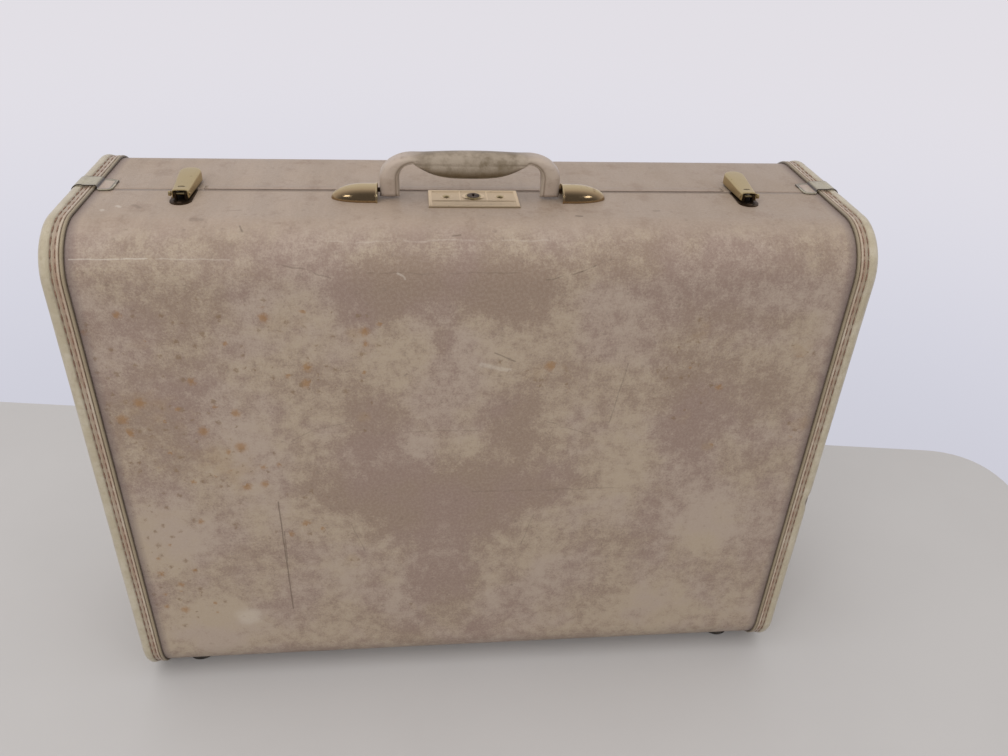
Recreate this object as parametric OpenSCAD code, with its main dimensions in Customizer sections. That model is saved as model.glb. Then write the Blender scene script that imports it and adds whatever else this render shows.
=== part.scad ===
// Hard-sided travel case, standing on its hinge side, with the handle and lock on the front half.
// Millimetres. Z is up and the underside of the feet is z = 0. The case's width runs along X,
// its depth along Y (front half at -Y, lid at +Y), and the origin is mid-width and mid-depth.

/* [Case] */
// Width over the two end panels, without the bindings
case_w = 606; // [480:1:760]
// Height of the wrap, without the feet
case_h = 451; // [340:1:560]
// Depth over the closed wrap, front to back
case_d = 196; // [180:1:260]
// Depth of the front half, front panel to seam
front_d = 91; // [84:1:110]
// Outer radius of the wrap's long bends
corner_r = 38; // [34:1:44]
// Height of the feet
foot_h = 6; // [6:0.5:12]
// Gap between the two halves at the seam
seam_gap = 0.6; // [0.4:0.1:1.2]

/* [Walls] */
// Thickness of the fibreboard wrap
board_t = 3.2; // [2.4:0.2:5]
// Thickness of the leatherette cover
cover_t = 0.8; // [0.5:0.1:1.2]
// Thickness of the plywood end panels
end_board_t = 4.2; // [3:0.2:6]
// Thickness of the cloth lining with its card
lining_t = 1.2; // [0.8:0.1:2]

/* [Bindings and piping] */
// Width of the flat leg on the wrap, up to the middle of the roll
binding_leg_w = 9; // [7:0.5:14]
// Thickness of the flat legs
binding_t = 2; // [1.5:0.1:2.6]
// Radius of the rolled outer edge
roll_r = 6; // [5:0.1:7]
// How deep the middle of the roll lies under the wrap's surface
roll_sink = 3.3; // [2.8:0.1:4]
// Reach of the leg on the end panel, from the wrap's surface
binding_side_w = 20; // [14:1:28]
// Radius of the piping cord
piping_r = 1.6; // [1.2:0.1:2]

/* [Rim frames] */
// Depth of the front rim frame
front_frame_d = 22; // [14:1:30]
// Depth of the lid's rim frame
back_frame_d = 14; // [10:1:24]
// Thickness of the rim frames
frame_t = 2; // [1.6:0.1:3]
// How far the tongue stands past the seam
tongue_l = 5; // [3:0.5:8]
// Gap between tongue and lid lining
tongue_gap = 0.6; // [0.4:0.1:0.9]

/* [Handle] */
// Length of the handle over its posts
grip_l = 139; // [130:1:180]
// Place of the handle's middle along X, from the lock's middle
handle_x = -2.4; // [-6:0.1:6]
// Height of the handle's top over the case
grip_rise = 37; // [35:0.5:50]
// Width of each post
post_w = 15; // [13:0.5:20]
// Diameter of the padded bar
pad_d = 20.6; // [18:0.2:24]
// Thickness of the bar where the pad ends
bar_t = 10; // [9:0.5:11]
// Distance from the seam to the handle's pivot line
handle_back = 15.6; // [15.6:0.1:26]
// Height of the pivot line over the case
pivot_h = 6.5; // [6.3:0.1:6.8]
// Diameter of the handle pins
handle_pin_d = 3.5; // [3:0.1:3.8]
// Length of each cap
cap_l = 35.4; // [32:0.2:48]
// Radius of the half-round caps
cap_r = 11.2; // [11:0.1:13]
// Thickness of the cap metal
cap_t = 1; // [0.8:0.1:1.2]
// Gap between a post and its cap
cap_gap = 1.8; // [1.5:0.1:4]

/* [Lock] */
// Width of the lock plate
plate_w = 70; // [62:1:84]
// Depth of the lock plate
plate_d = 34; // [32:1:36]
// Thickness of the lock plate's border
plate_t = 1.6; // [1.4:0.1:1.8]
// Radius of the key cylinder
plug_r = 4.8; // [4.3:0.1:5]
// Distance between the two domed rivets
rivet_span = 42; // [38:1:46]
// Width of the lock case
lock_case_w = 52; // [48:1:58]
// Depth of the lock case
lock_case_d = 30; // [29:1:34]
// Height of the lock case
lock_case_h = 12; // [11.5:0.5:15]
// Radius of the cam pin's circle
cam_r = 3.2; // [3:0.1:3.4]

/* [Latches] */
// Distance of each latch from the middle
latch_x = 219; // [170:1:225]
// Length of the lever
lever_l = 47; // [43:1:56]
// Width of the lever's round end
lever_w = 16; // [15:0.5:20]
// Width of the lever at its pivot
lever_pivot_w = 12.6; // [12.4:0.1:14]
// Height of the lever over the case
lever_h = 8.6; // [8.5:0.1:9.5]
// Thickness of the lever metal
lever_t = 1.1; // [0.9:0.1:1.2]
// Distance from the seam to the latch pivot
latch_back = 21.8; // [20:0.1:26]
// Diameter of the latch pins
latch_pin_d = 2; // [1.6:0.1:2.2]

/* [Hinges] */
// Distance of each hinge from the middle
hinge_x = 190; // [120:1:215]
// Width of each hinge
hinge_w = 57; // [45:3:75]
// Reach of each leaf from the seam
leaf_l = 24; // [18:1:30]
// Radius of the hinge knuckles
knuckle_r = 2.2; // [2:0.1:2.3]
// Diameter of the hinge pins
hinge_pin_d = 2.2; // [1.8:0.1:2.4]

/* [Feet] */
// Radius of each foot
foot_r = 13; // [10:0.5:16]
// Distance from the outer face of the wrap to the middle of a foot
foot_in = 34; // [30:1:40]
// Distance from the case's end to the middle of a foot
foot_end = 41; // [36:1:60]

/* [Inside] */
// Height of the cloth pocket's hem over the lid's lower bend
pocket_h = 246; // [160:2:250]
// Depth of the cloth pocket
pocket_d = 14; // [10:1:24]
// Distance of each packing strap from the middle
strap_x = 150; // [90:1:200]
// Width of the packing straps
strap_w = 22; // [16:1:30]

/* [Hidden] */
$fn = 72;

// Main planes of the case
x_end = case_w / 2;
z_bot = foot_h;
z_top = foot_h + case_h;
y_front = -case_d / 2;
y_back = case_d / 2;
y_seam = y_front + front_d;
y_front_edge = y_seam - seam_gap / 2;
y_back_edge = y_seam + seam_gap / 2;
wall_t = board_t + cover_t;
end_t = end_board_t + cover_t;
inner_t = wall_t + lining_t;
x_in = x_end - end_t - lining_t;

// Fits
run_fit = 0.05;
slide_fit = 0.1;
clear = 0.3;
eps = 0.01;

// Binding section, measured outwards from the wrap's surface and along X
roll_x = x_end + binding_t - roll_r;
leg_x = roll_x - binding_leg_w;
roll_top = roll_r - roll_sink;
piping_x = leg_x - piping_r;
piping_sink = 0.5;

// Handle
y_pivot = y_seam - handle_back;
z_pivot = z_top + pivot_h;
cap_face_x = grip_l / 2 + cap_gap;
cap_tip_x = cap_face_x + cap_l;
pad_axis_h = grip_rise - pad_d / 2 - pivot_h;
eye_r = 5.2;
grip_inner_h = grip_rise - bar_t;
core_t = 2.5;
core_inset = 5;
core_w = 7;
grip_shoulder_r = 24;
grip_inner_r = 9;
core_shoulder_r = grip_shoulder_r - core_inset;
handle_pin_r = handle_pin_d / 2;
pin_in_post = post_w - 3;
bracket_t = 1.2;
bracket_l = 0.58 * cap_l;
bracket_w = 2 * (cap_r - cap_t) - 5.4;
ear_x = cap_face_x + 4;
ear_t = 2.2;
ear_r = 3.2;
pin_tail = 4;

// Lock
plug_back = 15.1;
y_plug = y_seam - plug_back;
plate_back = 2.4;
y_plate = y_seam - plate_back - plate_d / 2;
plate_floor_t = 1;
z_plug_top = z_top + plate_floor_t + 1.2;
lock_wall = 1.2;
lock_case_set = 1.3;
z_case_top = z_top - wall_t;
z_case_bot = z_case_top - lock_case_h;
y_case_back = y_seam - lock_case_set;
cam_turn = 45;
bolt_travel = 2 * cam_r * sin(cam_turn);
bolt_t = 3;
bolt_d = 5.2;
cam_pin_r = 0.8;
y_bolt = y_plug + cam_r - 0.2;
z_bolt = z_case_bot + 4;
z_plug_bot = z_bolt + bolt_t + 1;
bolt_tip_x = -9.4;
bolt_tail_x = 7;
staple_x = -11;
staple_t = 2;
staple_window = 1;

// Latches
y_latch = y_seam - latch_back;
latch_pin_r = latch_pin_d / 2;
latch_pivot_h = 5;
lever_lift = 1.8;
lever_tail = 2.2;
latch_plate_t = 0.8;
latch_ear_x = 3.2;
latch_ear_t = 1.3;
latch_ear_r = 2.3;
latch_rivet_front = 6.5;
latch_rivet_back = 10;
catch_t = 0.8;
catch_lip_h = 1.5;

// Hinges
hinge_drop = roll_top + 0.1;
z_hinge = z_bot - hinge_drop;
leaf_t = 1.1;
hinge_pin_r = hinge_pin_d / 2;
knuckle_w = hinge_w / 3;

// Colours
leatherette = "#a89a8a";
binding_c = "#b3ab94";
thread_c = "#6d4a3a";
brass_c = "#b39a55";
dark_brass_c = "#5b4a36";
steel_c = "#8d8a84";
lining_c = "#b9a58a";
board_c = "#8c7152";
rubber_c = "#2f2621";

// Outline of the wrap in the YZ plane, moved inwards by inset
module outline(inset) {
    r = corner_r - inset;
    for (y = [y_front + corner_r, y_back - corner_r], z = [z_bot + corner_r, z_top - corner_r])
        translate([y, z]) circle(r);
    translate([y_front + inset, z_bot + corner_r])
        square([case_d - 2 * inset, case_h - 2 * corner_r]);
    translate([y_front + corner_r, z_bot + inset])
        square([case_d - 2 * corner_r, case_h - 2 * inset]);
}

// The part of a flat outline that belongs to one half
module half_of(front) {
    far = 2 * case_d;
    tall = 2 * case_h;
    start = front ? y_front_edge - far : y_back_edge;
    intersection() {
        children();
        translate([start, -case_h / 2]) square([far, tall]);
    }
}

// Extrudes a flat YZ outline along X
module along_x(x0, x1) {
    translate([x0, 0, 0]) rotate([90, 0, 90]) linear_extrude(x1 - x0) children();
}

// A shell of the wrap between two insets, for one half
module wrap_shell(front, outer, inner) {
    along_x(-x_end, x_end) half_of(front) difference() {
        outline(outer);
        outline(inner);
    }
}

// A flat panel inside the wrap at the right-hand end
module end_panel(front, x0, x1) {
    along_x(x0, x1) half_of(front) outline(wall_t);
}

// Cloth tray that lines one half
module lining(front) {
    difference() {
        along_x(-x_in - lining_t, x_in + lining_t) half_of(front) outline(wall_t);
        along_x(-x_in, x_in) outline(inner_t);
    }
}

// Sweeps a flat section round one half: x of the section points outwards, y along X
module sweep_half(front) {
    y0 = front ? y_front + corner_r : y_back_edge;
    run = front ? front_d - corner_r - seam_gap / 2 : case_d - front_d - corner_r - seam_gap / 2;
    cy = front ? y_front + corner_r : y_back - corner_r;
    side = front ? 180 : 0;
    side_z = front ? z_bot + corner_r : z_top - corner_r;
    side_y = front ? y_front : y_back;
    rotate([90, 0, 90]) {
        translate([y0, z_top, 0]) rotate([0, 0, 90]) rotate([90, 0, 0])
            linear_extrude(run) children();
        translate([y0 + run, z_bot, 0]) rotate([0, 0, 270]) rotate([90, 0, 0])
            linear_extrude(run) children();
        translate([side_y, side_z, 0]) rotate([0, 0, side]) rotate([90, 0, 0])
            linear_extrude(case_h - 2 * corner_r) children();
        translate([cy, z_top - corner_r, 0]) rotate([0, 0, front ? 90 : 0])
            rotate_extrude(angle = 90) translate([corner_r, 0]) children();
        translate([cy, z_bot + corner_r, 0]) rotate([0, 0, front ? 180 : 270])
            rotate_extrude(angle = 90) translate([corner_r, 0]) children();
    }
}

// Section of the binding at the right-hand end
module binding_section() {
    difference() {
        union() {
            translate([0, leg_x]) square([binding_t, binding_leg_w]);
            translate([-roll_sink, roll_x]) circle(roll_r);
            translate([-binding_side_w, x_end]) square([binding_side_w - roll_sink, binding_t]);
        }
        translate([-corner_r, leg_x]) square([corner_r, x_end - leg_x]);
    }
}

// Section of the piping cord, flattened where it is glued to the wrap
module piping_section() {
    intersection() {
        translate([piping_sink, piping_x]) circle(piping_r, $fn = 32);
        translate([0, piping_x - piping_r]) square([2 * piping_r + piping_sink, 2 * piping_r]);
    }
}

// Puts a right-hand piece at the left-hand end
module at_left() {
    mirror([1, 0, 0]) children();
}

// A copy at each side of the middle
module both_sides() {
    children();
    mirror([1, 0, 0]) children();
}

// Rivet pointing up, its head on z = 0 and its shank going down
module rivet(shank_r, head_r, head_h, length) {
    translate([0, 0, -length]) cylinder(r = shank_r, h = length + eps, $fn = 32);
    intersection() {
        cylinder(r = head_r, h = head_h, $fn = 32);
        dome_r = (head_r * head_r + head_h * head_h) / (2 * head_h);
        translate([0, 0, head_h - dome_r]) sphere(dome_r, $fn = 64);
    }
}

rivet_r = 1.4;
head_r = 2.6;
head_h = 0.8;

// Places of the rivets on the hinge leaves
module hinge_rivet_places(front) {
    y = front ? y_seam - 0.7 * leaf_l : y_seam + 0.7 * leaf_l;
    for (side = [-1, 1], k = [-1, 0, 1])
        translate([side * hinge_x + k * 0.35 * hinge_w, y, 0]) children();
}

// Moves the handle and its fittings to their place along the case
module at_handle() { translate([handle_x, 0, 0]) children(); }

// Places of the rivets on the handle brackets, from the handle's middle
module bracket_rivet_places() {
    for (side = [-1, 1], k = [0.42, 0.82])
        translate([side * (ear_x + k * bracket_l), y_pivot, 0]) children();
}

// Places of the rivets on the latch plates
module latch_rivet_places() {
    for (side = [-1, 1], y = [y_latch - latch_rivet_front, y_latch + latch_rivet_back])
        translate([side * latch_x, y, 0]) children();
}

// Places of the rivets on the latch catches
module catch_rivet_places() {
    for (side = [-1, 1])
        translate([side * latch_x, y_seam + 6.5, 0]) children();
}

// Places of the domed rivets of the lock plate
module lock_rivet_places() {
    for (side = [-1, 1])
        translate([side * rivet_span / 2, y_plug, 0]) children();
}

// Every hole through the front half's wrap
module front_holes() {
    below = z_top - 2 * wall_t;
    translate([0, y_plug, below]) cylinder(r = plug_r + 1, h = 4 * wall_t);
    at_handle() bracket_rivet_places() translate([0, 0, below])
        cylinder(r = rivet_r, h = 4 * wall_t, $fn = 32);
    latch_rivet_places() translate([0, 0, below]) cylinder(r = rivet_r, h = 4 * wall_t, $fn = 32);
    lock_rivet_places() translate([0, 0, below]) cylinder(r = rivet_r, h = 4 * wall_t, $fn = 32);
    hinge_rivet_places(true) translate([0, 0, z_bot - wall_t])
        cylinder(r = rivet_r, h = 3 * wall_t, $fn = 32);
}

// Every hole through the lid's wrap
module back_holes() {
    below = z_top - 2 * wall_t;
    catch_rivet_places() translate([0, 0, below]) cylinder(r = rivet_r, h = 4 * wall_t, $fn = 32);
    hinge_rivet_places(false) translate([0, 0, z_bot - wall_t])
        cylinder(r = rivet_r, h = 3 * wall_t, $fn = 32);
}

module front_board() {
    color(board_c) difference() {
        wrap_shell(true, cover_t, wall_t);
        front_holes();
    }
}

module front_cover() {
    color(leatherette) difference() {
        wrap_shell(true, 0, cover_t);
        front_holes();
    }
}

module back_board() {
    color(board_c) difference() {
        wrap_shell(false, cover_t, wall_t);
        back_holes();
    }
}

module back_cover() {
    color(leatherette) difference() {
        wrap_shell(false, 0, cover_t);
        back_holes();
    }
}

module end_board(front) {
    color(board_c) end_panel(front, x_end - end_t, x_end - cover_t);
}

module end_cover(front) {
    color(leatherette) end_panel(front, x_end - cover_t, x_end);
}

module front_end_board_right() { end_board(true); }
module front_end_board_left() { at_left() end_board(true); }
module back_end_board_right() { end_board(false); }
module back_end_board_left() { at_left() end_board(false); }
module front_end_cover_right() { end_cover(true); }
module front_end_cover_left() { at_left() end_cover(true); }
module back_end_cover_right() { end_cover(false); }
module back_end_cover_left() { at_left() end_cover(false); }

module binding(front) {
    color(binding_c) sweep_half(front) binding_section();
}

module front_binding_right() { binding(true); }
module front_binding_left() { at_left() binding(true); }
module back_binding_right() { binding(false); }
module back_binding_left() { at_left() binding(false); }

module piping(front) {
    color(binding_c) sweep_half(front) piping_section();
}

module front_piping_right() { piping(true); }
module front_piping_left() { at_left() piping(true); }
module back_piping_right() { piping(false); }
module back_piping_left() { at_left() piping(false); }

// Space that the lock case takes out of lining and frame
module lock_space(gap) {
    translate([-lock_case_w / 2 - gap, y_case_back - lock_case_d - gap, z_case_bot - gap])
        cube([lock_case_w + 2 * gap, lock_case_d + lock_case_set + tongue_l + 2 * gap,
            lock_case_h + gap]);
}

module front_lining() {
    color(lining_c) difference() {
        lining(true);
        lock_space(slide_fit);
    }
}

module back_lining() {
    color(lining_c) lining(false);
}

// Rectangular ring inside the seam, set in from the lining by gap
module rim_ring(y0, y1, gap, thick) {
    w = 2 * (x_in - gap);
    z0 = z_bot + inner_t + gap;
    h = case_h - 2 * inner_t - 2 * gap;
    difference() {
        translate([-w / 2, y0, z0]) cube([w, y1 - y0, h]);
        translate([-w / 2 + thick, y0 - 1, z0 + thick])
            cube([w - 2 * thick, y1 - y0 + 2, h - 2 * thick]);
    }
}

module front_frame() {
    color(steel_c) difference() {
        union() {
            rim_ring(y_front_edge - front_frame_d, y_front_edge, 0, frame_t);
            difference() {
                rim_ring(y_front_edge - eps, y_seam + tongue_l, tongue_gap, frame_t - tongue_gap);
                translate([-case_w / 2, y_front_edge, 0])
                    cube([case_w, 2 * tongue_l, z_bot + corner_r]);
            }
        }
        lock_space(slide_fit);
    }
}

module back_frame() {
    y0 = y_seam + tongue_l + clear;
    color(steel_c) rim_ring(y0, y0 + back_frame_d, 0, frame_t);
}

// A pair of feet under one half, shaped on top to the wrap
module feet(front) {
    y = front ? y_front + foot_in : y_back - foot_in;
    lip = 1.2;
    color(rubber_c) both_sides() difference() {
        translate([x_end - foot_end, y, 0]) {
            cylinder(r1 = foot_r - lip, r2 = foot_r, h = lip);
            translate([0, 0, lip]) cylinder(r = foot_r, h = foot_h + corner_r / 4 - lip);
        }
        along_x(0, x_end) outline(0);
    }
}

module front_feet() { feet(true); }
module back_feet() { feet(false); }

module front_rivets() {
    color(brass_c) {
        hinge_rivet_places(true) translate([0, 0, z_bot - leaf_t]) mirror([0, 0, 1])
            rivet(rivet_r, head_r, head_h, wall_t + leaf_t);
        at_handle() bracket_rivet_places() translate([0, 0, z_top + bracket_t])
            rivet(rivet_r, head_r, head_h, wall_t + bracket_t);
        latch_rivet_places() translate([0, 0, z_top + latch_plate_t])
            rivet(rivet_r, head_r - 0.4, head_h - 0.2, wall_t + latch_plate_t);
    }
}

module back_rivets() {
    color(brass_c) {
        hinge_rivet_places(false) translate([0, 0, z_bot - leaf_t]) mirror([0, 0, 1])
            rivet(rivet_r, head_r, head_h, wall_t + leaf_t);
        catch_rivet_places() translate([0, 0, z_top + catch_t])
            rivet(rivet_r, head_r - 0.4, head_h - 0.2, wall_t + catch_t);
    }
}

// Half outline of a bullet: straight for a while, then an elliptic nose
function bullet(r, l, straight, steps = 12) = concat(
    [[0, 0], [r, 0]],
    [for (k = [0 : steps - 1]) [r * cos(90 * k / steps), straight + (l - straight) * sin(90 * k / steps)]],
    [[0, l]]);

// Bullet-shaped cap lying on the case, its open face towards the handle
module handle_cap() {
    straight = 9;
    color(brass_c) intersection() {
        translate([cap_face_x, y_pivot, z_top]) rotate([0, 90, 0]) difference() {
            rotate_extrude() polygon(bullet(cap_r, cap_l, straight));
            translate([0, 0, -eps])
                rotate_extrude() polygon(bullet(cap_r - cap_t, cap_l - cap_t, straight));
        }
        translate([cap_face_x - 1, y_pivot - 2 * cap_r, z_top])
            cube([cap_l + 2, 4 * cap_r, 2 * cap_r]);
    }
}

module handle_cap_right() { at_handle() handle_cap(); }
module handle_cap_left() { at_handle() at_left() handle_cap(); }

// Riveted foot and upright ear that carry the handle pin inside the cap
module handle_brackets() {
    color(steel_c) at_handle() both_sides() difference() {
        union() {
            translate([ear_x, y_pivot - bracket_w / 2, z_top])
                cube([bracket_l, bracket_w, bracket_t]);
            translate([ear_x, y_pivot - ear_r, z_top]) cube([ear_t, 2 * ear_r, pivot_h]);
            translate([ear_x, y_pivot, z_pivot]) rotate([0, 90, 0]) cylinder(r = ear_r, h = ear_t);
        }
        translate([ear_x - 1, y_pivot, z_pivot]) rotate([0, 90, 0])
            cylinder(r = handle_pin_r, h = ear_t + 2);
        bracket_rivet_places() translate([0, 0, z_top - 1])
            cylinder(r = rivet_r, h = bracket_t + 2, $fn = 32);
    }
}

module handle_pins() {
    x0 = grip_l / 2 - pin_in_post;
    color(steel_c) at_handle() both_sides() translate([x0, y_pivot, z_pivot]) rotate([0, 90, 0])
        cylinder(r = handle_pin_r, h = ear_x + ear_t + pin_tail - x0);
}

// Rectangle with round upper corners, standing on y = 0
module arch_shape(w, h, r) {
    translate([-w / 2, 0]) square([w, h - r]);
    translate([-w / 2 + r, 0]) square([w - 2 * r, h]);
    for (x = [-w / 2 + r, w / 2 - r]) translate([x, h - r]) circle(r);
}

// Front view of the grip, its lower edge under the pivot line
module grip_front() {
    crown = 3;
    crown_half = grip_l / 2 - post_w;
    crown_r = (crown_half * crown_half + crown * crown) / (2 * crown);
    open_w = grip_l - 2 * post_w;
    belly_drop = pad_d - bar_t;
    belly_half = open_w / 2 - 8;
    belly_r = (belly_half * belly_half + belly_drop * belly_drop) / (2 * belly_drop);
    difference() {
        intersection() {
            arch_shape(grip_l, grip_rise + eye_r, grip_shoulder_r);
            translate([0, grip_rise + eye_r - crown_r]) circle(crown_r, $fn = 360);
        }
        difference() {
            translate([0, -1]) arch_shape(open_w, grip_inner_h + eye_r + 1, grip_inner_r);
            translate([0, grip_rise + eye_r - pad_d + belly_r]) circle(belly_r, $fn = 180);
        }
    }
}

// End view of the grip: a round eye on the pin, a flare and the round bar, a little wider than high
module grip_side() {
    pad_flat = 0.4;
    circle(eye_r);
    polygon([[-eye_r, 0], [eye_r, 0], [0.92 * pad_d / 2, pad_axis_h - 4],
        [-0.92 * pad_d / 2, pad_axis_h - 4]]);
    translate([0, pad_axis_h]) circle(pad_d / 2 + pad_flat);
}

// The flat steel core, grown by gap for the space it takes in the grip
module core_shape(gap) {
    w = grip_l - 2 * core_inset;
    h = grip_rise + eye_r - core_inset;
    translate([0, y_pivot + core_w / 2 + gap, z_top - eye_r]) rotate([90, 0, 0])
        linear_extrude(core_w + 2 * gap) difference() {
            arch_shape(w + 2 * gap, h + gap, core_shoulder_r);
            translate([0, -1]) arch_shape(w - 2 * core_t - 2 * gap, h - core_t - gap + 1,
                core_shoulder_r - core_t);
            translate([-w, -1]) square([2 * w, pivot_h + eye_r + 1]);
        }
    for (side = [-1, 1])
        translate([side * (w / 2 - core_t / 2) - core_t / 2 - gap, y_pivot, z_pivot])
            rotate([0, 90, 0]) cylinder(r = core_w / 2 + gap, h = core_t + 2 * gap);
}

module grip_pin_holes(r) {
    both_sides() translate([grip_l / 2 - pin_in_post - clear, y_pivot, z_pivot])
        rotate([0, 90, 0]) cylinder(r = r, h = post_w + 2);
}

module handle_grip() {
    color(binding_c) at_handle() difference() {
        intersection() {
            translate([0, y_pivot + pad_d, z_top - eye_r]) rotate([90, 0, 0])
                linear_extrude(2 * pad_d) grip_front();
            translate([-grip_l, y_pivot, z_pivot]) rotate([90, 0, 90])
                linear_extrude(2 * grip_l) grip_side();
        }
        core_shape(0);
        grip_pin_holes(handle_pin_r + 0.25);
    }
}

module handle_core() {
    color(steel_c) at_handle() difference() {
        core_shape(0);
        grip_pin_holes(handle_pin_r + run_fit);
    }
}

// Rounded bar outline centred on the origin
module slot_shape(l, w) {
    square([l - w, w], center = true);
    for (x = [-(l - w) / 2, (l - w) / 2]) translate([x, 0]) circle(w / 2);
}

module lock_plate() {
    border = 2.6;
    rib = 0.8;
    cell_x = rivet_span / 4;
    strip = plate_d * 0.34;
    color(brass_c) difference() {
        union() {
            translate([-plate_w / 2, y_plate - plate_d / 2, z_top])
                cube([plate_w, plate_d, plate_floor_t]);
            translate([0, 0, z_top]) linear_extrude(plate_t) difference() {
                translate([0, y_plate]) square([plate_w, plate_d], center = true);
                translate([0, y_plate])
                    square([plate_w - 2 * border, plate_d - 2 * border], center = true);
            }
            translate([-plate_w / 2 + border - eps, y_plate - plate_d / 2 + strip, z_top])
                cube([plate_w - 2 * border + 2 * eps, rib, plate_t - 0.2]);
            for (side = [-1, 1])
                translate([side * cell_x - rib / 2, y_plate - plate_d / 2 + strip, z_top])
                    cube([rib, plate_d - strip - border + eps, plate_t - 0.2]);
            translate([0, y_plug, z_top]) linear_extrude(plate_t) slot_shape(4 * plug_r, 2.6 * plug_r);
        }
        translate([0, y_plug, z_top - 1]) cylinder(r = plug_r + run_fit, h = plate_t + 2);
        lock_rivet_places() translate([0, 0, z_top - 1])
            cylinder(r = rivet_r, h = plate_t + 2, $fn = 32);
    }
}

module lock_rivets() {
    color(brass_c) lock_rivet_places() translate([0, 0, z_top + plate_floor_t])
        rivet(rivet_r, 3, 1.2, wall_t + plate_floor_t + lock_wall);
}

// Steel box under the lid of the wrap, with the bolt's shelf and the staple's way in
module lock_case() {
    y0 = y_case_back - lock_case_d;
    color(steel_c) difference() {
        union() {
            difference() {
                translate([-lock_case_w / 2, y0, z_case_bot])
                    cube([lock_case_w, lock_case_d, lock_case_h]);
                translate([-lock_case_w / 2 + lock_wall, y0 + lock_wall, z_case_bot + lock_wall])
                    cube([lock_case_w - 2 * lock_wall, lock_case_d - 2 * lock_wall,
                        lock_case_h - 2 * lock_wall]);
            }
            shelf_x = staple_x + staple_t / 2 + 2;
            translate([shelf_x, y_bolt - bolt_d / 2, z_case_bot + lock_wall - eps])
                cube([bolt_tail_x + 3 - shelf_x, bolt_d,
                    z_bolt - slide_fit - z_case_bot - lock_wall + eps]);
        }
        translate([0, y_plug, z_case_top - 2 * lock_wall])
            cylinder(r = plug_r + run_fit, h = 3 * lock_wall);
        lock_rivet_places() translate([0, 0, z_case_top - 2 * lock_wall])
            cylinder(r = rivet_r, h = 3 * lock_wall, $fn = 32);
        translate([staple_x - staple_t / 2 - 1.2, y_case_back - 2 * lock_wall, z_case_bot + lock_wall])
            cube([staple_t + 2.4, 3 * lock_wall, lock_case_h - 2 * lock_wall]);
    }
}

// Key cylinder with its keyhole and the cam pin that drives the bolt
module lock_cylinder() {
    slot_l = 5;
    slot_w = 1.2;
    color(brass_c) difference() {
        union() {
            translate([0, y_plug, z_plug_bot]) cylinder(r = plug_r, h = z_plug_top - z_plug_bot);
            translate([cam_r * sin(cam_turn), y_plug + cam_r * cos(cam_turn), z_bolt + slide_fit])
                cylinder(r = cam_pin_r, h = z_plug_bot - z_bolt - slide_fit + eps, $fn = 32);
        }
        translate([-slot_w / 2, y_plug - slot_l / 2, z_plug_top - 4]) cube([slot_w, slot_l, 5]);
        translate([0, y_plug + slot_l / 5, z_plug_top - 4]) cylinder(r = slot_w, h = 5, $fn = 32);
    }
}

module lock_bolt() {
    cam_x = cam_r * sin(cam_turn);
    slot_w = 2 * cam_pin_r + 0.4;
    slot_l = 3.2;
    color(steel_c) difference() {
        translate([bolt_tip_x, y_bolt - bolt_d / 2, z_bolt])
            cube([bolt_tail_x - bolt_tip_x, bolt_d, bolt_t]);
        translate([cam_x - slot_w / 2, y_plug + (1 + cos(cam_turn)) * cam_r / 2 - slot_l / 2, z_bolt - 1])
            cube([slot_w, slot_l, bolt_t + 2]);
    }
}

// Oval foot plate with two ears for one latch lever
module latch_plate() {
    w = lever_w;
    front = 10;
    back = latch_back - 2;
    color(dark_brass_c) difference() {
        translate([latch_x, y_latch, z_top]) union() {
            linear_extrude(latch_plate_t) union() {
                translate([0, -front + w / 2 - 1]) circle(w / 2);
                translate([-w / 2, -front + w / 2 - 1]) square([w, back + front - w / 2 + 1]);
            }
            for (side = [-1, 1]) translate([side * (latch_ear_x + latch_ear_t / 2), 0, 0]) {
                translate([-latch_ear_t / 2, -latch_ear_r, 0])
                    cube([latch_ear_t, 2 * latch_ear_r, latch_pivot_h]);
                translate([-latch_ear_t / 2, 0, latch_pivot_h]) rotate([0, 90, 0])
                    cylinder(r = latch_ear_r, h = latch_ear_t, $fn = 48);
            }
        }
        translate([latch_x - lever_w, y_latch, z_top + latch_pivot_h]) rotate([0, 90, 0])
            cylinder(r = latch_pin_r, h = 2 * lever_w, $fn = 32);
        latch_rivet_places() translate([0, 0, z_top - 1])
            cylinder(r = rivet_r, h = latch_plate_t + 2, $fn = 32);
    }
}

module latch_plate_right() { latch_plate(); }
module latch_plate_left() { at_left() latch_plate(); }

// Pin with a button on its outer end
module latch_pins() {
    half = lever_pivot_w / 2 + 0.8;
    color(brass_c) both_sides() translate([latch_x, y_latch, z_top + latch_pivot_h]) {
        translate([-half, 0, 0]) rotate([0, 90, 0]) cylinder(r = latch_pin_r, h = 2 * half, $fn = 32);
        translate([half, 0, 0]) rotate([0, 90, 0]) cylinder(r = 1.9, h = 1.6, $fn = 32);
    }
}

// Plan of the lever: a taper that ends in a round, moved inwards by inset
module lever_plan(inset, tail) {
    r = lever_w / 2 - inset;
    half = lever_pivot_w / 2 - inset;
    end = lever_l - lever_tail - lever_w / 2;
    polygon([[-half, -tail], [half, -tail], [r, end], [-r, end]]);
    translate([0, end]) circle(r);
}

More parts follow.
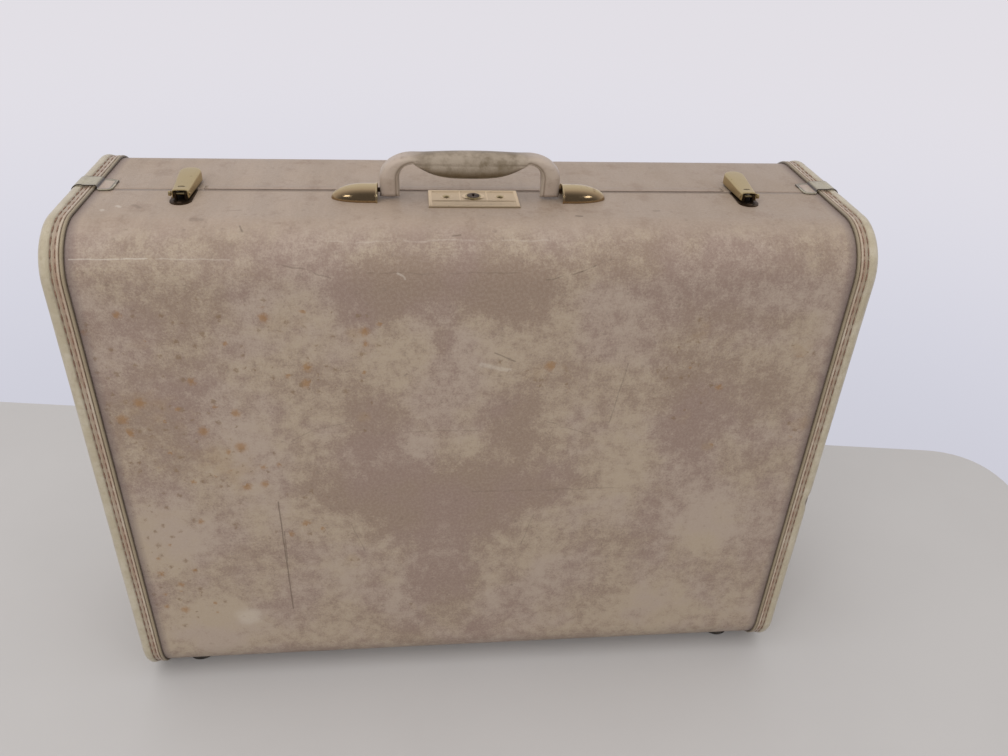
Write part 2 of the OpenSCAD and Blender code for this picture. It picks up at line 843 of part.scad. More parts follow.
module latch_lever() {
    tooth_l = 1.6;
    tooth_w = 8;
    color(brass_c) translate([latch_x, y_latch, z_top]) difference() {
        union() {
            difference() {
                translate([0, 0, lever_lift]) linear_extrude(lever_h - lever_lift)
                    lever_plan(0, lever_tail);
                translate([0, 0, lever_lift - 1]) linear_extrude(lever_h - lever_t - lever_lift + 1)
                    lever_plan(lever_t, lever_tail + 1);
            }
            translate([-tooth_w / 2, lever_l - lever_tail - lever_w * 0.35, lever_lift])
                cube([tooth_w, tooth_l, lever_h - lever_t - lever_lift + eps]);
        }
        translate([-lever_w, 0, latch_pivot_h]) rotate([0, 90, 0])
            cylinder(r = latch_pin_r + run_fit, h = 2 * lever_w, $fn = 32);
        translate([-2.4, 4.6, lever_h - 2 * lever_t]) cube([4.8, 1.3, 3 * lever_t]);
    }
}

module latch_lever_right() { latch_lever(); }
module latch_lever_left() { at_left() latch_lever(); }

// Catch plate on the lid, with the lip that the lever's tooth drops behind
module latch_catches() {
    reach = lever_l - lever_tail - latch_back;
    y0 = y_seam + 2;
    color(dark_brass_c) both_sides() difference() {
        union() {
            translate([latch_x - lever_w * 0.38, y0, z_top])
                cube([lever_w * 0.76, reach - lever_w * 0.35 - 0.6 - 2, catch_t]);
            translate([latch_x - 4, y_seam + reach - lever_w * 0.35 - 2.2, z_top])
                cube([8, 1.6, catch_lip_h]);
        }
        catch_rivet_places() translate([0, 0, z_top - 1])
            cylinder(r = rivet_r, h = catch_t + 2, $fn = 32);
    }
}

// Knuckles of one leaf at one hinge: the outer two of the front leaf, the middle one of the lid's
module knuckles(front, r) {
    for (k = front ? [-1, 1] : [0])
        translate([hinge_x + k * knuckle_w - knuckle_w / 2 + 0.1, y_seam, z_hinge])
            rotate([0, 90, 0]) cylinder(r = r, h = knuckle_w - 0.2);
}

module hinge_leaf(front, bore) {
    y0 = front ? y_seam - leaf_l : y_seam + seam_gap / 2;
    color(dark_brass_c) both_sides() difference() {
        union() {
            difference() {
                translate([hinge_x - hinge_w / 2, y0, z_bot - leaf_t])
                    cube([hinge_w, leaf_l - seam_gap / 2, leaf_t]);
                for (k = front ? [0] : [-1, 1])
                    translate([hinge_x + k * knuckle_w - knuckle_w / 2 - 0.2,
                        y_seam - knuckle_r - 2 * clear, z_bot - 2 * leaf_t])
                        cube([knuckle_w + 0.4, 2 * knuckle_r + 4 * clear, 3 * leaf_t]);
            }
            knuckles(front, knuckle_r);
            web = front ? y_seam - knuckle_r : y_seam;
            for (k = front ? [-1, 1] : [0])
                translate([hinge_x + k * knuckle_w - knuckle_w / 2 + 0.1, web, z_hinge])
                    cube([knuckle_w - 0.2, knuckle_r, z_bot - leaf_t - z_hinge + eps]);
        }
        translate([0, y_seam, z_hinge]) rotate([0, 90, 0])
            cylinder(r = bore, h = hinge_x + hinge_w);
        hinge_rivet_places(front) translate([0, 0, z_bot - 3 * leaf_t])
            cylinder(r = rivet_r, h = 4 * leaf_t, $fn = 32);
    }
}

module hinge_leaves_front() { hinge_leaf(true, hinge_pin_r); }
module hinge_leaves_back() { hinge_leaf(false, hinge_pin_r + run_fit); }

module hinge_pins() {
    color(steel_c) both_sides() translate([hinge_x - hinge_w / 2 + 0.1, y_seam, z_hinge])
        rotate([0, 90, 0]) cylinder(r = hinge_pin_r, h = hinge_w - 0.2);
}

// Packing straps lie on the front panel's lining, buckled in the middle
strap_t = 1.5;
strap_gap = 12;
strap_end = 8;
buckle_l = 26;
buckle_t = 2.4;
y_strap = y_front + inner_t;
z_strap_low = z_bot + corner_r + strap_end;
z_strap_high = z_top - corner_r - strap_end;
z_buckle = (z_strap_low + z_strap_high) / 2;

module straps_upper() {
    color(lining_c) both_sides()
        translate([strap_x - strap_w / 2, y_strap, z_buckle + strap_gap / 2])
            cube([strap_w, strap_t, z_strap_high - z_buckle - strap_gap / 2]);
}

module straps_lower() {
    color(lining_c) both_sides()
        translate([strap_x - strap_w / 2, y_strap, z_strap_low])
            cube([strap_w, strap_t, z_buckle - strap_gap / 2 - z_strap_low]);
}

module strap_buckles() {
    w = strap_w + 8;
    bar = 3;
    color(brass_c) both_sides()
        translate([strap_x, y_strap + strap_t + buckle_t, z_buckle]) rotate([90, 0, 0])
            linear_extrude(buckle_t) difference() {
                square([w, buckle_l], center = true);
                for (side = [-1, 1]) translate([0, side * (buckle_l / 4 - bar / 4)])
                    square([strap_w, buckle_l / 2 - 1.5 * bar], center = true);
            }
}

module strap_anchors() {
    w = strap_w + 6;
    h = 14;
    color(brass_c) both_sides() for (z = [z_strap_low - 2, z_strap_high - h + 2])
        translate([strap_x - w / 2, y_strap + strap_t, z]) cube([w, strap_t, h]);
}

// Raised band along the lid's edge between the latches
module edge_band() {
    w = 2 * (latch_x - lever_w / 2 - 4);
    band_d = 8;
    band_t = 0.8;
    color(leatherette) translate([-w / 2, y_back_edge, z_top]) cube([w, band_d, band_t]);
}

// Metal clip over the lid's binding end, with a tab that laps a little over the front half
clip_t = 0.9;
clip_tab_w = 19;
clip_w = 19;
clip_lap = 5;
clip_side_w = 15;

module clip_section() {
    r = roll_r + clip_t;
    step = piping_sink + piping_r + 0.1;
    tab_x = piping_x - piping_r - 0.4;
    join_x = roll_x - 3;
    translate([0, tab_x - clip_tab_w + 6]) square([clip_t, clip_tab_w - 6]);
    translate([0, tab_x - clip_t]) square([step + clip_t, clip_t]);
    translate([step, tab_x - clip_t]) square([clip_t, join_x - tab_x + clip_t]);
    intersection() {
        translate([-roll_sink, roll_x]) difference() {
            circle(r);
            circle(roll_r);
        }
        translate([-roll_sink, join_x]) square([2 * r, 2 * r]);
    }
    translate([-clip_side_w, roll_x + roll_r]) square([clip_side_w - roll_sink, clip_t]);
}

module binding_clips() {
    tab_x = piping_x - piping_r - 0.4;
    tab_w = clip_tab_w - 6 - 1.5;
    color(brass_c) both_sides() {
        translate([0, y_back_edge, z_top]) rotate([90, 0, 90]) rotate([0, 0, 90]) rotate([90, 0, 0])
            linear_extrude(clip_w) clip_section();
        translate([tab_x - 0.5 - tab_w, y_back_edge - clip_lap, z_top + clear])
            cube([tab_w, clip_lap + 2, clip_t]);
    }
}

// Staple on the lid's frame: a leaf under the frame and a blade with the bolt's hole
module lock_staple() {
    leaf_w = 16;
    leaf_thick = 1.5;
    frame_y = y_seam + tongue_l + clear;
    z_under = z_top - inner_t - frame_t;
    blade_y = y_bolt - bolt_d / 2 - 2.5;
    window_under = 0.9;
    window_over = 0.5;
    blade_low = z_bolt - window_under - 1.5;
    z_leaf = min(z_under, z_case_top - lock_wall - 2);
    color(steel_c) difference() {
        union() {
            translate([staple_x - leaf_w / 2, frame_y, z_under - leaf_thick])
                cube([leaf_w, back_frame_d - 1, leaf_thick]);
            translate([staple_x - staple_t / 2, blade_y, blade_low])
                cube([staple_t, frame_y + 5 - blade_y, z_leaf - leaf_thick + eps - blade_low + 1]);
        }
        translate([staple_x - staple_t, y_bolt - bolt_d / 2 - staple_window / 2,
            z_bolt - window_under])
            cube([2 * staple_t, bolt_d + staple_window, bolt_t + window_under + window_over]);
    }
}

// Cloth pocket on the lid's back wall: a shallow tray, open at the top
pocket_side = 28;
pocket_wall = 1.5;
y_pocket = y_back - inner_t;
z_pocket = z_bot + corner_r + 2;
elastic_h = 14;

module lid_pocket() {
    w = 2 * (x_in - pocket_side);
    color(lining_c) difference() {
        translate([-w / 2, y_pocket - pocket_d, z_pocket]) cube([w, pocket_d, pocket_h]);
        translate([-w / 2 + pocket_wall, y_pocket - pocket_d + pocket_wall, z_pocket + pocket_wall])
            cube([w - 2 * pocket_wall, pocket_d, pocket_h]);
    }
}

module pocket_elastic() {
    w = 2 * (x_in - pocket_side);
    color(thread_c) translate([-w / 2, y_pocket - pocket_d - 1.2, z_pocket + pocket_h - elastic_h])
        cube([w, 1.2, elastic_h]);
}

front_board();
front_cover();
front_end_board_left();
front_end_board_right();
front_end_cover_left();
front_end_cover_right();
front_binding_left();
front_binding_right();
front_piping_left();
front_piping_right();
front_lining();
front_frame();
front_feet();
front_rivets();
handle_cap_left();
handle_cap_right();
handle_brackets();
handle_pins();
handle_grip();
handle_core();
lock_plate();
lock_rivets();
lock_case();
lock_cylinder();
lock_bolt();
latch_plate_left();
latch_plate_right();
latch_pins();
latch_lever_left();
latch_lever_right();
hinge_leaves_front();
hinge_pins();
straps_upper();
straps_lower();
strap_buckles();
strap_anchors();
back_board();
back_cover();
back_end_board_left();
back_end_board_right();
back_end_cover_left();
back_end_cover_right();
back_binding_left();
back_binding_right();
back_piping_left();
back_piping_right();
back_lining();
back_frame();
edge_band();
binding_clips();
back_feet();
back_rivets();
hinge_leaves_back();
latch_catches();
lock_staple();
lid_pocket();
pocket_elastic();
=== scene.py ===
"""Hard-sided travel case: its finishes, leather, cloth and fittings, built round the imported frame."""

import math

import bmesh
import bpy
import numpy as np
from mathutils import Matrix, Vector, noise


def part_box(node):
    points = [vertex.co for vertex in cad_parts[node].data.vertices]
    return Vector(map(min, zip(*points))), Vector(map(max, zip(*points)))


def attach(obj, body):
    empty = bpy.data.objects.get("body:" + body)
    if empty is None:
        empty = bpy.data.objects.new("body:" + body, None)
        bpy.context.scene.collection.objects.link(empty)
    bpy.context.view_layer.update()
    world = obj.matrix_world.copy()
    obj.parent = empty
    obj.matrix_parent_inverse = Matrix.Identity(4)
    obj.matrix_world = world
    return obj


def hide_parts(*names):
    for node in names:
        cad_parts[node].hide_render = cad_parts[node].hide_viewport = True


bl_info = {
    "name": "Travel case",
    "version": (1, 0, 0),
    "blender": (4, 5, 0),
    "location": "3D View > Sidebar > Travel case",
    "description": "Builds the covering, bindings, handle, fittings and lining of a hard-sided travel case",
    "category": "Add Mesh",
}

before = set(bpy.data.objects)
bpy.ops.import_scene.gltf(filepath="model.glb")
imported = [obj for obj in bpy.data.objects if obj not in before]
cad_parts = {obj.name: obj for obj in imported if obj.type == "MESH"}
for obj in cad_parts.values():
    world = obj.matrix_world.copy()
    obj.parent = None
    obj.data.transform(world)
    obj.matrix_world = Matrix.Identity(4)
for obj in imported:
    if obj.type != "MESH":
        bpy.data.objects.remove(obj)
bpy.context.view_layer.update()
MM = 0.001
ENDS = ((-1, "left"), (1, "right"))


def corners(node):
    """Lowest and highest corner of a frame node."""
    low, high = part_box(node)
    return Vector(low), Vector(high)


# Main planes of the case, read from the frame
FRONT_LOW, FRONT_HIGH = corners("front_cover")
LID_LOW, LID_HIGH = corners("back_cover")
X_END = FRONT_HIGH.x
Z_BOT = FRONT_LOW.z
Z_TOP = FRONT_HIGH.z
Y_FRONT = FRONT_LOW.y
Y_FRONT_EDGE = FRONT_HIGH.y
Y_BACK_EDGE = LID_LOW.y
Y_BACK = LID_HIGH.y
CORNER_R = 38 * MM
WALL_T = 4 * MM
LINING_T = 1.2 * MM


def body_of(front):
    """Body that a half rides on."""
    return "base" if front else "lid"


def half_planes(front):
    """A half's side of the seam, its edge at the seam and its face."""
    return (-1, Y_FRONT_EDGE, Y_FRONT) if front else (1, Y_BACK_EDGE, Y_BACK)


def srgb(red, green, blue):
    """Linear colour from 0 to 255 display values."""
    def linear(value):
        value /= 255
        return value / 12.92 if value <= 0.04045 else ((value + 0.055) / 1.055) ** 2.4
    return (linear(red), linear(green), linear(blue))


def colour_property(name, description, rgb):
    return bpy.props.FloatVectorProperty(
        name=name, description=description, default=srgb(*rgb), subtype="COLOR", size=3, min=0, max=1)


def length_property(name, description, millimetres):
    return bpy.props.FloatProperty(
        name=name, description=description, default=millimetres * MM, unit="LENGTH",
        subtype="DISTANCE", precision=5, min=0)


class CaseSizes(bpy.types.PropertyGroup):
    """Sizes of the pieces that dress the frame"""
    roll_radius: length_property("Roll radius", "Radius of the rolled outer edge of the bindings", 6)
    roll_sink: length_property("Roll sink", "Depth of the roll's middle under the wrap", 3.3)
    binding_side: length_property("Side leg", "Reach of the binding on the end panels", 20)
    piping_radius: length_property("Piping radius", "Radius of the piping cord", 1.6)
    stitch_pitch: length_property("Stitch pitch", "Distance from stitch to stitch", 9.4)
    stitch_length: length_property("Stitch length", "Length of thread that shows", 7.4)
    stitch_width: length_property("Stitch width", "Width of the thread", 1.3)
    cap_length: length_property("Cap length", "Length of each handle cap", 35.4)
    cap_radius: length_property("Cap radius", "Radius of the half-round handle caps", 11.2)
    lever_height: length_property("Lever height", "Height of the latch levers over the case", 8.6)
    pocket_fold: length_property("Pocket folds", "Depth of the gathers under the elastic", 3.2)


class CaseColours(bpy.types.PropertyGroup):
    """Colours of the materials"""
    ground: colour_property("Ground", "Darker ground of the printed covering", (133, 114, 99))
    cloud: colour_property("Clouds", "Pale clouds of the printed covering", (160, 144, 125))
    wash: colour_property("Wash", "Even tone of the covering near the seam", (147, 130, 115))
    rust: colour_property("Rust", "Rust and age spots", (138, 101, 60))
    binding: colour_property("Binding", "Rolled leather of the edge bindings", (164, 153, 131))
    piping: colour_property("Piping", "Cord beside the bindings", (134, 120, 98))
    thread: colour_property("Thread", "Stitches", (120, 92, 76))
    grip: colour_property("Grip", "Leather of the handle", (165, 149, 136))
    polished: colour_property("Polished brass", "Handle caps", (200, 182, 142))
    aged: colour_property("Aged brass", "Lock plate", (230, 208, 172))
    dark: colour_property("Dark brass", "Latch plates, catches and hinges", (84, 68, 52))
    lining: colour_property("Lining", "Woven cloth inside", (186, 160, 126))
    floor: colour_property("Floor", "Table under the case", (186, 183, 182))
    wall: colour_property("Wall", "Background", (226, 223, 229))


# Node trees


class Nodes:
    """Adds nodes to a tree. An input takes a number, a vector, a colour or another node's output."""

    def __init__(self, tree):
        self.tree = tree

    def fill(self, node, inputs):
        """Sets or links a node's inputs."""
        for key, value in inputs.items():
            if isinstance(value, bpy.types.NodeSocket):
                self.tree.links.new(value, node.inputs[key])
            else:
                node.inputs[key].default_value = value

    def add(self, kind, inputs=None, **options):
        """Adds a node with its options and inputs. Returns its outputs."""
        made = self.tree.nodes.new(kind)
        for key, value in options.items():
            setattr(made, key, value)
        self.fill(made, inputs or {})
        return made.outputs

    def calc(self, operation, *values, clamp=False):
        """Math node's output."""
        return self.add("ShaderNodeMath", dict(enumerate(values)), operation=operation, use_clamp=clamp)[0]

    def times(self, first, second):
        return self.calc("MULTIPLY", first, second)

    def vector(self, operation, *values, output=0):
        """Vector Math node's vector, or its value where output is 1."""
        return self.add("ShaderNodeVectorMath", dict(enumerate(values)), operation=operation)[output]

    def scaled(self, vector, factor):
        return self.add("ShaderNodeVectorMath", {0: vector, "Scale": factor}, operation="SCALE")[0]

    def split(self, vector):
        return self.add("ShaderNodeSeparateXYZ", {0: vector})

    def join(self, *values):
        return self.add("ShaderNodeCombineXYZ", dict(enumerate(values)))[0]

    def mix(self, factor, first, second, share=None):
        """Mixed colour. A plain colour may be three numbers, and a share weakens the factor."""
        if share is not None:
            factor = self.times(factor, share)
        first, second = (c if isinstance(c, bpy.types.NodeSocket) else (*c, 1) for c in (first, second))
        return self.add("ShaderNodeMix", {0: factor, 6: first, 7: second}, data_type="RGBA")[2]

    def ranged(self, value, low, high, to_low=0.0, to_high=1.0):
        """Smooth Map Range node's output."""
        return self.add("ShaderNodeMapRange", {0: value, 1: low, 2: high, 3: to_low, 4: to_high},
                        interpolation_type="SMOOTHSTEP")[0]

    def cloudy(self, vector, scale, detail=4.0, roughness=0.6, flat=False, output=0):
        """Noise texture's value, or its colour where output is 1, on a plane where flat."""
        return self.add("ShaderNodeTexNoise",
                        {"Vector": vector, "Scale": scale, "Detail": detail, "Roughness": roughness},
                        noise_dimensions="2D" if flat else "3D")[output]

    def cells(self, vector, scale, flat):
        """Voronoi texture's outputs, on a plane where flat."""
        return self.add("ShaderNodeTexVoronoi", {"Vector": vector, "Scale": scale},
                        voronoi_dimensions="2D" if flat else "3D")

    def group(self, name, **inputs):
        """Outputs of one of the shared node groups."""
        return self.add("ShaderNodeGroup", inputs, node_tree=shared_group(name))


def start_group(name, inputs):
    """A shader node group: its nodes and its inputs. One without a number to start from is a vector."""
    nodes = Nodes(bpy.data.node_groups.new(name, "ShaderNodeTree"))
    for label, value in inputs.items():
        kind = "NodeSocketVector" if value is None else "NodeSocketFloat"
        socket = nodes.tree.interface.new_socket(label, in_out="INPUT", socket_type=kind)
        if value is not None:
            socket.default_value = value
    return nodes, nodes.add("NodeGroupInput")


def finish_group(nodes, **results):
    """Gives a node group its outputs."""
    for label in results:
        nodes.tree.interface.new_socket(label, in_out="OUTPUT", socket_type="NodeSocketFloat")
    nodes.add("NodeGroupOutput", results)
    return nodes.tree


def cloud_group():
    """Crisp, granular clouds round a signed field."""
    nodes, given = start_group("Print clouds", {"Vector": None, "Field": 0.0, "Scale": 20.0, "Softness": 0.1})
    broad = nodes.cloudy(given["Vector"], given["Scale"], 3, 0.6, True)
    mid = nodes.cloudy(given["Vector"], nodes.times(given["Scale"], 3.4), 4, 0.75, True)
    fine = nodes.cloudy(given["Vector"], nodes.times(given["Scale"], 24), 2, 0.8, True)
    total = given["Field"]
    for layer, share in ((broad, 2.2), (mid, 4.2), (fine, 2.4)):
        total = nodes.calc("ADD", total, nodes.times(nodes.calc("SUBTRACT", layer, 0.5), share))
    soft = given["Softness"]
    return finish_group(nodes, Mask=nodes.ranged(total, nodes.times(soft, -1), soft))


def speck_group(flat):
    """Scattered round specks of uneven size, on a plane where flat."""
    nodes, given = start_group("Flat specks" if flat else "Specks",
                               {"Vector": None, "Density": 0.3, "Scale": 80.0, "Size": 0.4})
    shake = nodes.cloudy(given["Vector"], 420, 1, 0.5, flat, output=1)
    moved = nodes.vector("MULTIPLY_ADD", shake, (0.004, 0.004, 0.004), given["Vector"])
    cells = nodes.cells(moved, given["Scale"], flat)
    chance, size, _ = nodes.add("ShaderNodeSeparateColor", {0: cells["Color"]})
    reach = nodes.times(given["Size"], nodes.calc("MULTIPLY_ADD", size, 0.8, 0.15))
    spot = nodes.ranged(cells["Distance"], reach, nodes.times(reach, 0.1))
    there = nodes.calc("LESS_THAN", chance, given["Density"])
    return finish_group(nodes, Mask=nodes.times(spot, there))


def scratch_group():
    """A thin, slightly shaky line between two places."""
    nodes, given = start_group("Scratch",
                               {"Vector": None, "From": None, "To": None, "Width": 0.001, "Shake": 0.002})
    shift = nodes.cloudy(given["Vector"], 55, 2, 0.5, True, output=1)
    centred = nodes.vector("SUBTRACT", shift, (0.5, 0.5, 0.5))
    point = nodes.vector("ADD", given["Vector"], nodes.scaled(centred, given["Shake"]))
    away = nodes.vector("SUBTRACT", point, given["From"])
    way = nodes.vector("SUBTRACT", given["To"], given["From"])
    share = nodes.calc("DIVIDE", nodes.vector("DOT_PRODUCT", away, way, output=1),
                       nodes.vector("DOT_PRODUCT", way, way, output=1), clamp=True)
    distance = nodes.vector("LENGTH", nodes.vector("SUBTRACT", away, nodes.scaled(way, share)), output=1)
    width = given["Width"]
    return finish_group(nodes, Mask=nodes.ranged(distance, width, nodes.times(width, 0.25)))


def grain_group(flat):
    """Height of a fine leather grain, on a plane where flat."""
    nodes, given = start_group("Flat leather grain" if flat else "Leather grain",
                               {"Vector": None, "Scale": 900.0})
    pores = nodes.cells(given["Vector"], given["Scale"], flat)
    creases = nodes.cloudy(given["Vector"], nodes.times(given["Scale"], 0.3), 2, 0.7, flat)
    return finish_group(nodes, Height=nodes.calc("SUBTRACT", creases, pores["Distance"]))


def weave_group():
    """Height of a plain weave, warp and weft, from a flat map in metres."""
    nodes, given = start_group("Weave", {"Vector": None, "Threads": 4000.0})
    across, along, _ = (nodes.calc("SINE", nodes.times(part, given["Threads"]))
                        for part in nodes.split(given["Vector"]))
    return finish_group(nodes, Height=nodes.times(across, along))


def tarnish_group():
    """Patches and fine scratches of old metal."""
    nodes, given = start_group("Tarnish", {"Vector": None, "Scale": 60.0, "Amount": 0.5})
    patches = nodes.cloudy(given["Vector"], given["Scale"], 5, 0.7)
    edge = nodes.calc("SUBTRACT", 0.8, nodes.times(given["Amount"], 0.6))
    stretched = nodes.vector("MULTIPLY", given["Vector"], (1, 9, 1))
    return finish_group(nodes, Patches=nodes.ranged(patches, edge, nodes.calc("ADD", edge, 0.18)),
                        Lines=nodes.cloudy(stretched, nodes.times(given["Scale"], 9), 3, 0.6))


GROUPS = {}


def shared_group(name):
    """One of the node groups, all built when the first is asked for."""
    if not GROUPS:
        GROUPS.update(clouds=cloud_group(), specks=speck_group(False), flat_specks=speck_group(True),
                      scratch=scratch_group(), grain=grain_group(False), flat_grain=grain_group(True),
                      weave=weave_group(), tarnish=tarnish_group())
    return GROUPS[name]


class Finish(Nodes):
    """A material's nodes, round its Principled shader."""

    def __init__(self, name):
        self.material = bpy.data.materials.new(name)
        self.material.use_nodes = True
        super().__init__(self.material.node_tree)

    def object_place(self):
        return self.add("ShaderNodeTexCoord")["Object"]

    def flat_map(self):
        return self.add("ShaderNodeUVMap", uv_map="flat")[0]

    def attribute(self, name):
        return self.add("ShaderNodeAttribute", attribute_name=name)["Fac"]

    def finish(self, colour, roughness, height, strength, distance, others=None):
        """Sets the shader's colour, roughness, bump from height, and other inputs."""
        bump = self.add("ShaderNodeBump", {"Strength": strength, "Distance": distance, "Height": height})
        self.fill(self.tree.nodes["Principled BSDF"],
                  {"Base Color": colour, "Roughness": roughness, "Normal": bump[0], **(others or {})})
        return self.material


# Lines on the front half as x and way from the upper seam, in mm: from, to, width, shake, strength
TOP_RUN = 52.7
BEND = 59.7
FACE_TOP = 419


def down(height):
    """Way from the upper seam to a height on the front panel, in mm."""
    return TOP_RUN + BEND + FACE_TOP - height


DARK_LINES = [
    ((-163.5, down(218)), (-162.5, down(90)), 0.9, 1.0, 0.62),
    ((-161.5, down(185)), (-162, down(150)), 0.7, 1.0, 0.5),
    ((-146, 96), (-120, 101), 0.9, 5.0, 0.35),
    ((-120, 101), (-100, 109), 0.9, 5.0, 0.3),
    ((98, 94), (76, 102), 0.9, 4.0, 0.5),
    ((76, 102), (50, 109), 0.9, 4.0, 0.45),
    ((-147, down(281)), (-128, down(292)), 0.9, 3.0, 0.25),
    ((-128, down(292)), (-100, down(298)), 0.9, 3.0, 0.22),
    ((50, down(298)), (96, down(281)), 0.9, 4.0, 0.25),
    ((-58, down(288)), (2, down(288)), 0.9, 3.0, 0.22),
    ((0, down(223)), (128, down(222)), 1.1, 4.0, 0.22),
    ((120, down(350)), (111, down(293)), 0.8, 2.0, 0.3),
    ((14, down(361)), (30, down(353)), 1.0, 2.0, 0.45),
    ((54, down(195)), (44, down(160)), 0.9, 2.0, 0.25),
    ((-104, down(190)), (-94, down(158)), 0.9, 2.0, 0.25),
    ((-251, 32), (-246, 37), 2.4, 4.0, 0.3),
    ((-204, 58), (-197, 58), 3.0, 5.0, 0.3),
    ((-184, 44), (-172, 42), 1.8, 5.0, 0.3),
    ((-170, 66), (-168, 71), 1.0, 1.0, 0.5),
    ((-19, 76), (-13, 75), 1.1, 3.0, 0.5),
    ((76, 51), (80, 52), 1.8, 3.0, 0.6),
    ((138, 41), (142, 41), 1.9, 3.0, 0.4),
    ((-80, 103), (28, 103), 1.0, 5.0, 0.2),
]
# The first two pale lines run along the upper bend: a painted highlight, partly a scuff.
PALE_SCUFFS_AND_GLINT = [
    ((-284, 92.2), (-232, 92.4), 0.8, 2.0, 0.34),
    ((-226, 92.5), (-176, 93.0), 0.8, 3.0, 0.2),
    ((-110, 80), (60, 79), 0.9, 5.0, 0.14),
    ((-60, 104), (-54, 108), 1.2, 8.0, 0.3),
    ((-205, down(81)), (-201, down(83)), 14, 8.0, 0.26),
    ((4, down(350)), (26, down(346)), 3.2, 8.0, 0.25),
    ((-262, 34), (-260, 36), 2.2, 6.0, 0.4),
    ((-271, 41), (-270, 43), 2.2, 6.0, 0.35),
]

# The print repeats mirrored either side of this place left of the middle, in mm
FOLD_X = 25


def covering(name, colours, marked):
    """Printed, worn leathercloth with its clouds, rust, scratches and scuffs, painted shade beside the
    bindings, along the seam and on the right of the top, and a painted highlight along the upper bend.
    """
    nodes = Finish(name)
    flat = nodes.flat_map()
    across, way, _ = nodes.split(flat)
    fold = nodes.calc("ABSOLUTE", nodes.calc("ADD", across, FOLD_X * MM))
    clouds = nodes.group("clouds", Vector=nodes.join(fold, way), Field=nodes.attribute("pale"), Scale=26.0,
                         Softness=1.15)["Mask"]
    tone = nodes.cloudy(flat, 13, 3, 0.55, True)
    ground = nodes.mix(nodes.ranged(tone, 0.35, 0.65), colours.ground, srgb(134, 114, 103))
    pale = nodes.mix(nodes.ranged(tone, 0.4, 0.62), colours.cloud, srgb(159, 143, 129))
    print_colour = nodes.mix(clouds, ground, pale)
    streaks = nodes.cloudy(nodes.vector("MULTIPLY", flat, (1, 0.16, 1)), 70, 3, 0.7, True)
    washed = nodes.mix(nodes.ranged(streaks, 0.3, 0.7), colours.wash, [1.1 * c for c in colours.wash])
    # Darker toward the right of the top: painted shade.
    right_painted_shade = nodes.ranged(across, -0.05, 0.2, 0, 0.6)
    washed = nodes.mix(right_painted_shade, washed, [0.92 * c for c in colours.wash])
    smudge = nodes.ranged(nodes.cloudy(flat, 38, 4, 0.7, True), 0.54, 0.72)
    washed = nodes.mix(smudge, washed, srgb(128, 108, 92), 0.5)
    printed = nodes.mix(nodes.attribute("top"), print_colour, washed)
    motes = nodes.group("flat_specks", Vector=flat, Density=0.16, Scale=150.0, Size=0.4)["Mask"]
    printed = nodes.mix(motes, printed, srgb(104, 88, 76), 0.3)
    dust = nodes.cloudy(flat, 420, 2, 0.7, True)
    printed = nodes.mix(nodes.ranged(dust, 0.4, 0.66, 0, 0.16), printed, srgb(172, 158, 146))
    rust = nodes.attribute("rust")
    rusty = nodes.times(rust, 0.6)
    small = nodes.group("flat_specks", Vector=flat, Density=rusty, Scale=150.0, Size=0.6)["Mask"]
    large = nodes.group("flat_specks", Vector=flat, Density=rusty, Scale=70.0, Size=0.55)["Mask"]
    bloom = nodes.ranged(nodes.times(rust, nodes.cloudy(flat, 60, 2, 0.6, True)), 0.18, 0.5)
    stained = nodes.mix(bloom, printed, srgb(148, 124, 92), 0.3)
    stained = nodes.mix(small, stained, srgb(118, 94, 68), 0.55)
    stained = nodes.mix(large, stained, colours.rust, 0.68)
    # Mauve darkening beside the bindings, along the seam and at the lid band's edges: painted shade, with
    # soiling.
    stained = nodes.mix(nodes.attribute("shade_and_grime"), stained, srgb(104, 90, 88), 0.75)
    if marked:
        for lines, tint in ((DARK_LINES, srgb(86, 72, 58)), (PALE_SCUFFS_AND_GLINT, srgb(200, 191, 180))):
            for start, end, width, shake, strength in lines:
                line = nodes.group("scratch", Vector=flat, From=(start[0] * MM, start[1] * MM, 0),
                                   To=(end[0] * MM, end[1] * MM, 0), Width=width * MM,
                                   Shake=shake * MM)["Mask"]
                stained = nodes.mix(line, stained, tint, strength)
    grain = nodes.group("flat_grain", Vector=flat, Scale=1100.0)["Height"]
    gloss = nodes.ranged(tone, 0.3, 0.75, 0.42, 0.58)
    return nodes.finish(stained, gloss, grain, 0.35, 0.00025, {"Specular IOR Level": 0.42})


def end_covering(colours):
    """The same leathercloth on the flat ends, from the place on the case."""
    nodes = Finish("end_leathercloth")
    _, deep, high = nodes.split(nodes.object_place())
    flat = nodes.join(deep, high)
    clouds = nodes.group("clouds", Vector=flat, Field=0.0, Scale=24.0, Softness=1.3)["Mask"]
    colour = nodes.mix(clouds, colours.ground, colours.cloud)
    rust = nodes.group("flat_specks", Vector=flat, Density=0.1, Scale=110.0, Size=0.42)["Mask"]
    colour = nodes.mix(rust, colour, colours.rust, 0.5)
    grain = nodes.group("flat_grain", Vector=flat, Scale=1100.0)["Height"]
    gloss = nodes.ranged(nodes.cloudy(flat, 40, 3, 0.6, True), 0.3, 0.75, 0.44, 0.6)
    return nodes.finish(colour, gloss, grain, 0.35, 0.00025)


